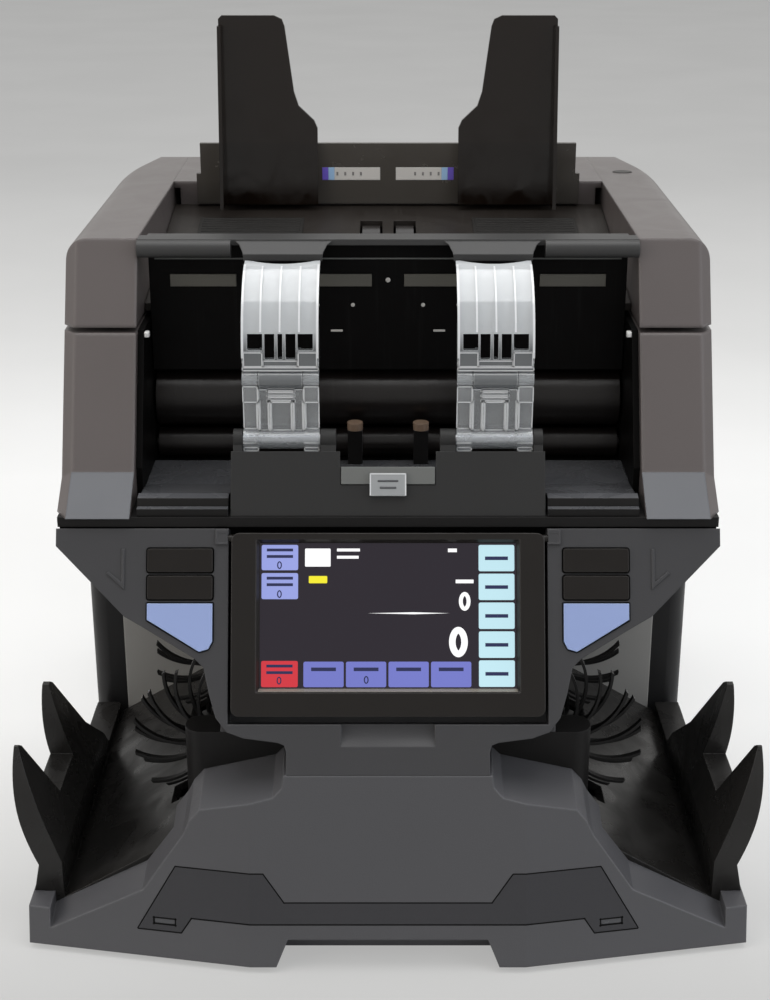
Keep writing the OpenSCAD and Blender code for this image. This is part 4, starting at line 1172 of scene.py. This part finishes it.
@dataclass
class RejectPocket:
    """Reject pocket, its rollers and its sensors."""

    front: Frontage
    maker: Maker
    guide_y: float = 124.0
    finishes: dict[str, str] = field(default_factory=lambda: {
        "side_plates": "tray_black", "reject_tray": "tray_gloss", "centre_plate": "plate_grey",
        "sensor_strip": "strip_cool", "sensor_prism": "clear_plastic", "sensor_caps": "sensor_bronze",
        "arm_shafts": "steel", "transport_bed": "frame_black", "reject_upper_roller": "roller_rubber",
        "reject_lower_roller": "roller_rubber", "transport_roller_front": "roller_rubber",
        "transport_roller_back": "roller_rubber", "upper_guide": "tray_black", "guide_strips": "strip_pale",
    })

    def build(self) -> None:
        """Dresses the pocket's pieces and adds its small marks and lines."""
        self.maker.palette.dress_nodes(self.finishes)
        self.marks()
        self.seam()
        self.prism()
        self.tray_steps()

    def marks(self) -> None:
        """Pale sensor windows on the upper guide's front, and a painted glint at the middle."""
        mesh = bmesh.new()
        row = 232.1
        # The last dot, at the middle, is a painted glint.
        dots = ((-14.2, row, 0.8), (14.2, row, 0.8), (-28.4, row, 0.7), (28.4, row, 0.7), (0.0, 242.4, 1.0))
        for x, z, radius in dots:
            self.maker.rod(mesh, radius, (-0.2, 0.35), self.front.upright(x, self.guide_y, z), 0.15, 20)
        for side in Side:
            place = self.front.upright(side.value * 20.8, self.guide_y, 221.4)
            self.maker.box(mesh, (-2.4, 2.4), (-0.4, 0.4), (-0.2, 0.5), place, 0.1, 0.2)
        self.maker.piece("guide_windows_and_glint", mesh, "label_white", "hopper_unit", "pale_plastic")

    def seam(self) -> None:
        """Thin lip across the upper guide's front, a little below the bar, coloured pale as a painted
        highlight along its edge.
        """
        mesh = bmesh.new()
        place = self.front.upright(0, self.guide_y, 251.2)
        self.maker.box(mesh, (-93.5, 93.5), (-0.3, 0.3), (-0.2, 0.5), place, 0.1)
        self.maker.piece("guide_lip", mesh, "strip_cool", "hopper_unit", "black_plastic")

    def prism(self) -> None:
        """Bright edge lines of the clear prism, which are painted highlights, and two dark inner steps."""
        mesh = bmesh.new()
        with self.maker.faces("sensor_prism", lambda f: f.normal.y < -0.3) as shown:
            self.maker.outline(mesh, shown, -0.5, 0.06)
            face = max(shown, key=lambda f: f.calc_area())
            corners = [v.co for f in shown if f.normal.dot(face.normal) > 0.999 for v in f.verts]
            middle = (Vector(map(min, zip(*corners))) + Vector(map(max, zip(*corners)))) / 2
            lean = math.asin(face.normal.z)
        self.maker.piece("prism_lines", mesh, "arm_rib", "chassis", "clear_plastic")
        mesh = bmesh.new()
        place = Matrix.Translation(middle) @ Matrix.Rotation(math.pi / 2 - lean, 4, "X")
        thick = 0.4
        for y, half in ((1.3, 4.0), (-1.3, 3.2)):
            self.maker.box(mesh, (-half, half), (y - thick, y + thick), (-0.1, 0.12), place, corner=0.3)
        self.maker.piece("prism_steps", mesh, "lens_grey", "chassis", "clear_plastic")

    def tray_steps(self) -> None:
        """Dark upright steps of the reject tray's lip."""
        mesh = bmesh.new()
        with self.maker.faces("reject_tray", lambda f: f.normal.y < -0.7) as upright:
            self.maker.skin(mesh, upright, 0.1)
        self.maker.piece("tray_steps", mesh, "frame_black", "chassis", "black_plastic")


@dataclass
class ClearArms:
    """The two folding clear arms."""

    front: Frontage
    maker: Maker
    inner: float = 26.5
    width: float = 29.5
    bend: float = 33.5
    centre: Point = (111.8, 220.66)

    def build(self) -> None:
        """Dresses both links of both arms and adds the upper ones' ribs and the bright lines."""
        for side in Side:
            self.maker.palette.dress_nodes({
                f"{side.word}_arm_lower": "arm_clear", f"{side.word}_arm_upper": "arm_painted_sheen",
            })
            self.ribs(side)
            self.lines(side)

    def band(self, lift: float, start: float, end: float, steps: int = 18) -> list[Point]:
        """Outline of a thin band on the bend's outer face.

        Args:
            lift: its height over the face, in millimetres.
            start: first angle over the bend's foot, in degrees.
            end: last angle.
            steps: number of straight stretches.

        Returns:
            Points as depth and height in millimetres.
        """
        angles = [math.radians(start + (end - start) * i / steps) for i in range(steps + 1)]
        y, z = self.centre
        sunk = 0.2
        outer, inner = (
            [(y - r * math.cos(a), z + r * math.sin(a)) for a in angles]
            for r in (self.bend + lift, self.bend - sunk)
        )
        return outer + inner[::-1]

    def ribs(self, side: Side) -> None:
        """Three fine ribs over the bend and a rim along each of its edges.

        Args:
            side: the arm.
        """
        mesh = bmesh.new()
        rim = 0.45
        strips = [(self.inner + self.width * i / 4, 0.35, self.band(0.3, 21.0, 74.0)) for i in (1, 2, 3)]
        strips += [(self.inner + x, rim, self.band(0.35, 4.0, 76.0)) for x in (rim, self.width - rim)]
        for x, half, outline in strips:
            self.maker.plate(mesh, outline, side.span(x - half, x + half), self.front.at(0, 0, 0) @ TURN)
        self.maker.piece(f"{side.word}_arm_ribs", mesh, "arm_rib", f"{side.word}_arm_tip", "clear_plastic")

    def lines(self, side: Side) -> None:
        """Bright lines where light leaves the edges of the clear plates.

        Args:
            side: the arm.
        """
        for link, body in (("lower", "arm"), ("upper", "arm_tip")):
            mesh = bmesh.new()
            with self.maker.faces(f"{side.word}_arm_{link}", lambda f: f.normal.y < -0.9999) as shown:
                self.maker.outline(mesh, shown, -0.4, 0.06)
            name = f"{side.word}_{link}_lines"
            self.maker.piece(name, mesh, "arm_rib", f"{side.word}_{body}", "clear_plastic")


@dataclass
class Hopper:
    """Hopper bed, note guides and the guide bar with its labels."""

    front: Frontage
    maker: Maker
    bar_y: float = 237.0
    bar_z: float = 264.7
    bed_y: float = 127.0
    bed_z: float = 232.0
    bed_rise: float = 18.0
    bed_run: float = 113.0

    def build(self) -> None:
        """Dresses the hopper and adds the bar's labels and the bed's pads."""
        self.maker.palette.dress_nodes({
            "hopper_bed": "bed_brown", "guide_bar": "smoked_bar", "left_guide": "smoked_plastic",
            "right_guide": "smoked_plastic", "pickup_roller": "roller_rubber",
        })
        self.labels()
        self.pads()

    def labels(self) -> None:
        """Scale labels on the bar, with coloured outer ends and grey ticks."""
        place = self.front.upright(0, self.bar_y, self.bar_z)
        label, tick = ((-2.9, 2.9), 0.05), ((-0.8, 0.8), 0.09)
        pitch = 3.6
        areas = {
            "label_white": ([(3.6, 24.6)], label),
            "label_blue": ([(24.6, 27.4)], label),
            "label_violet": ([(27.4, 30.2)], label),
            "tick_grey": ([(12.0 + i * pitch, 12.9 + i * pitch) for i in range(4)], tick),
        }
        for finish, (stretches, (y, face)) in areas.items():
            mesh = bmesh.new()
            for side in Side:
                for near, far in stretches:
                    self.maker.box(mesh, side.span(near, far), y, (-0.05, face), place)
            self.maker.piece(f"bar_{finish}", mesh, finish, "hopper_unit", "pale_plastic")

    def pads(self) -> None:
        """Ribbed rubber pads on the hopper bed beside the pick-up wheels."""
        mesh = bmesh.new()
        slope = math.atan(self.bed_rise / self.bed_run)
        middle = 208.0
        height = self.bed_z + (middle - self.bed_y) * self.bed_rise / self.bed_run
        place = self.front.at(0, middle, height) @ Matrix.Rotation(slope, 4, "X")
        half, pitch, inset = 0.6, 3, 1.5
        for side in Side:
            x0, x1 = side.span(38.0, 85.0)
            self.maker.box(mesh, (x0, x1), (-14, 14), (-0.4, 0.5), place, 0.3, 1.0)
            for y in range(-12, 13, pitch):
                self.maker.box(mesh, (x0 + inset, x1 - inset), (y - half, y + half), (0.3, 0.9), place, 0.2)
        self.maker.piece("bed_pads", mesh, "pad_brown", "hopper_unit", "roller_black")


@dataclass
class StackerPockets:
    """Pocket trays and finger wheels."""

    maker: Maker

    def build(self) -> None:
        """Dresses trays, wheels and shafts."""
        for side in Side:
            self.maker.palette.dress_nodes({
                f"{side.word}_pocket_tray": "pocket_black", f"{side.word}_stacker_wheels": "wheel_rubber",
                f"{side.word}_stacker_shaft": "steel",
            })


@dataclass
class Studio:
    """Floor, backdrop, soft light and the camera."""

    focal_px: float = 1700.0
    width_px: float = 770.0
    centre_px: float = 388.0
    sensor: float = 36.0
    pitch: float = 21.07
    place: tuple[float, float, float] = (0.0, -0.7039, 0.4056)
    floor_half: float = 8.0
    # Greys of the floor from the front to the back, at shares of the way: painted shade at the front and a
    # painted fall of light further back.
    floor_tones: tuple[Point, ...] = (
        (0.0, 182), (0.065, 253), (0.14, 250), (0.22, 225), (0.40, 203), (1.0, 194),
    )
    floor_front: float = -0.25
    floor_back: float = 4.25

    def build(self) -> None:
        """Sets the whole studio."""
        self.floor()
        self.lights()
        self.world()
        self.camera()
        bpy.context.scene.view_settings.view_transform = "Standard"

    def floor(self) -> None:
        """Pale floor that runs far back, brightest behind the machine and greyer further off."""
        mesh = bmesh.new()
        bmesh.ops.create_grid(mesh, x_segments=2, y_segments=2, size=self.floor_half)
        obj = settle("studio_floor", mesh)
        obj.data.materials.append(self.floor_material())

    def floor_material(self) -> Material:
        """Floor finish, which glows a little for the camera.

        Returns:
            The finished material.
        """
        material = bpy.data.materials.new("studio_floor")
        material.use_nodes = True
        nodes = material.node_tree.nodes
        t = Tree(material.node_tree)
        shader = t.put(nodes["Principled BSDF"], Roughness=0.7, Specular_IOR_Level=0.2)
        place = t.add("ShaderNodeTexCoord")
        noise = t.add("ShaderNodeTexNoise", Scale=5.0, Detail=4.0)
        axes = t.add("ShaderNodeSeparateXYZ")
        back = t.add("ShaderNodeMapRange", From_Min=self.floor_front, From_Max=self.floor_back)
        ramp = t.add("ShaderNodeValToRGB")
        stops = ramp.color_ramp.elements
        while len(stops) < len(self.floor_tones):
            stops.new(0.5)
        for stop, (share, grey) in zip(stops, self.floor_tones):
            stop.position = share
            stop.color = linear((grey, grey, grey - 1))
        mottle = t.add("ShaderNodeMapRange", To_Min=0.95, To_Max=1.05)
        tone = t.blend(blend_type="MULTIPLY", Factor=1.0)
        glow = t.add("ShaderNodeEmission")
        path = t.add("ShaderNodeLightPath")
        seen = t.larger((path, "Is Camera Ray"), (path, "Is Transmission Ray"))
        part = t.add("ShaderNodeMath", operation="MULTIPLY")
        part.inputs[1].default_value = 0.6
        mix = t.add("ShaderNodeMixShader")
        t.wire(
            (place, "Object", axes, "Vector"),
            (axes, "Y", back, "Value"),
            (back, "Result", ramp, "Fac"),
            (place, "Object", noise, "Vector"),
            (noise, "Fac", mottle, "Value"),
            (ramp, "Color", tone, MIX_A),
            (mottle, "Result", tone, MIX_B),
            (tone, MIX_OUT, shader, "Base Color"),
            (tone, MIX_OUT, glow, "Color"),
            (*seen, part, 0),
            (part, "Value", mix, "Fac"),
            (shader, "BSDF", mix, 1),
            (glow, "Emission", mix, 2),
            (mix, "Shader", nodes["Material Output"], "Surface"),
        )
        return material

    @staticmethod
    def lamp(
        name: str, place: tuple[float, float, float], aim: tuple[float, float, float], size: float,
        watts: float, tint: Colour = (255, 255, 255),
    ) -> None:
        """Adds a soft area lamp.

        Args:
            name: the lamp's name.
            place: where it hangs, in metres.
            aim: the point it looks at.
            size: side of the square lamp.
            watts: its power.
            tint: its written colour.
        """
        data = bpy.data.lights.new(name, "AREA")
        data.size = size
        data.energy = watts
        data.color = linear(tint)[:3]
        obj = show(name, data)
        obj.location = place
        obj.rotation_euler = (Vector(aim) - Vector(place)).to_track_quat("-Z", "Y").to_euler()

    def lights(self) -> None:
        """Overhead and side soft boxes."""
        self.lamp("overhead", (0.0, 0.1, 1.5), (0, 0, 0.1), 1.4, 15.0)
        self.lamp("left_box", (-1.2, -0.6, 0.7), (0, 0, 0.12), 0.9, 6.0, (255, 248, 240))
        self.lamp("right_box", (1.2, -0.6, 0.7), (0, 0, 0.12), 0.9, 6.0, (244, 248, 255))

    @staticmethod
    def world() -> None:
        """Pale surround that the camera, gloss and clear pieces see as the backdrop."""
        world = bpy.data.worlds.new("studio_world")
        bpy.context.scene.world = world
        world.use_nodes = True
        t = Tree(world.node_tree)
        world.node_tree.nodes.clear()
        out = t.add("ShaderNodeOutputWorld")
        soft = t.add("ShaderNodeBackground", Strength=0.42, Color=(1, 1, 1, 1))
        seen = t.add("ShaderNodeBackground", Strength=1.0, Color=linear((200, 199, 197)))
        path = t.add("ShaderNodeLightPath")
        gloss = t.larger((path, "Is Glossy Ray"), (path, "Is Transmission Ray"))
        either = t.larger((path, "Is Camera Ray"), gloss)
        mix = t.add("ShaderNodeMixShader")
        t.wire(
            (*either, mix, "Fac"),
            (soft, "Background", mix, 1),
            (seen, "Background", mix, 2),
            (mix, "Shader", out, "Surface"),
        )

    def camera(self) -> None:
        """Camera at the photograph's viewing angle."""
        data = bpy.data.cameras.new("camera")
        data.sensor_fit = "HORIZONTAL"
        data.sensor_width = self.sensor
        data.lens = self.focal_px / self.width_px * self.sensor
        data.shift_x = -(self.centre_px - self.width_px / 2) / self.width_px
        data.clip_end = 20.0
        obj = show("camera", data)
        obj.location = self.place
        obj.rotation_euler = (math.radians(90 - self.pitch), 0, 0)
        bpy.context.scene.camera = obj


def main() -> None:
    """Builds the looks in order."""
    logging.basicConfig(level=logging.INFO, format="%(name)s: %(message)s")
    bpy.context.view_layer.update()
    front = Frontage()
    maker = Maker(Palette())
    Casing(front, maker).build()
    KeyWings(front, maker).build()
    DisplayUnit(front, maker).build()
    RejectPocket(front, maker).build()
    ClearArms(front, maker).build()
    Hopper(front, maker).build()
    StackerPockets(maker).build()
    Studio().build()


if __name__ == "__main__":
    main()
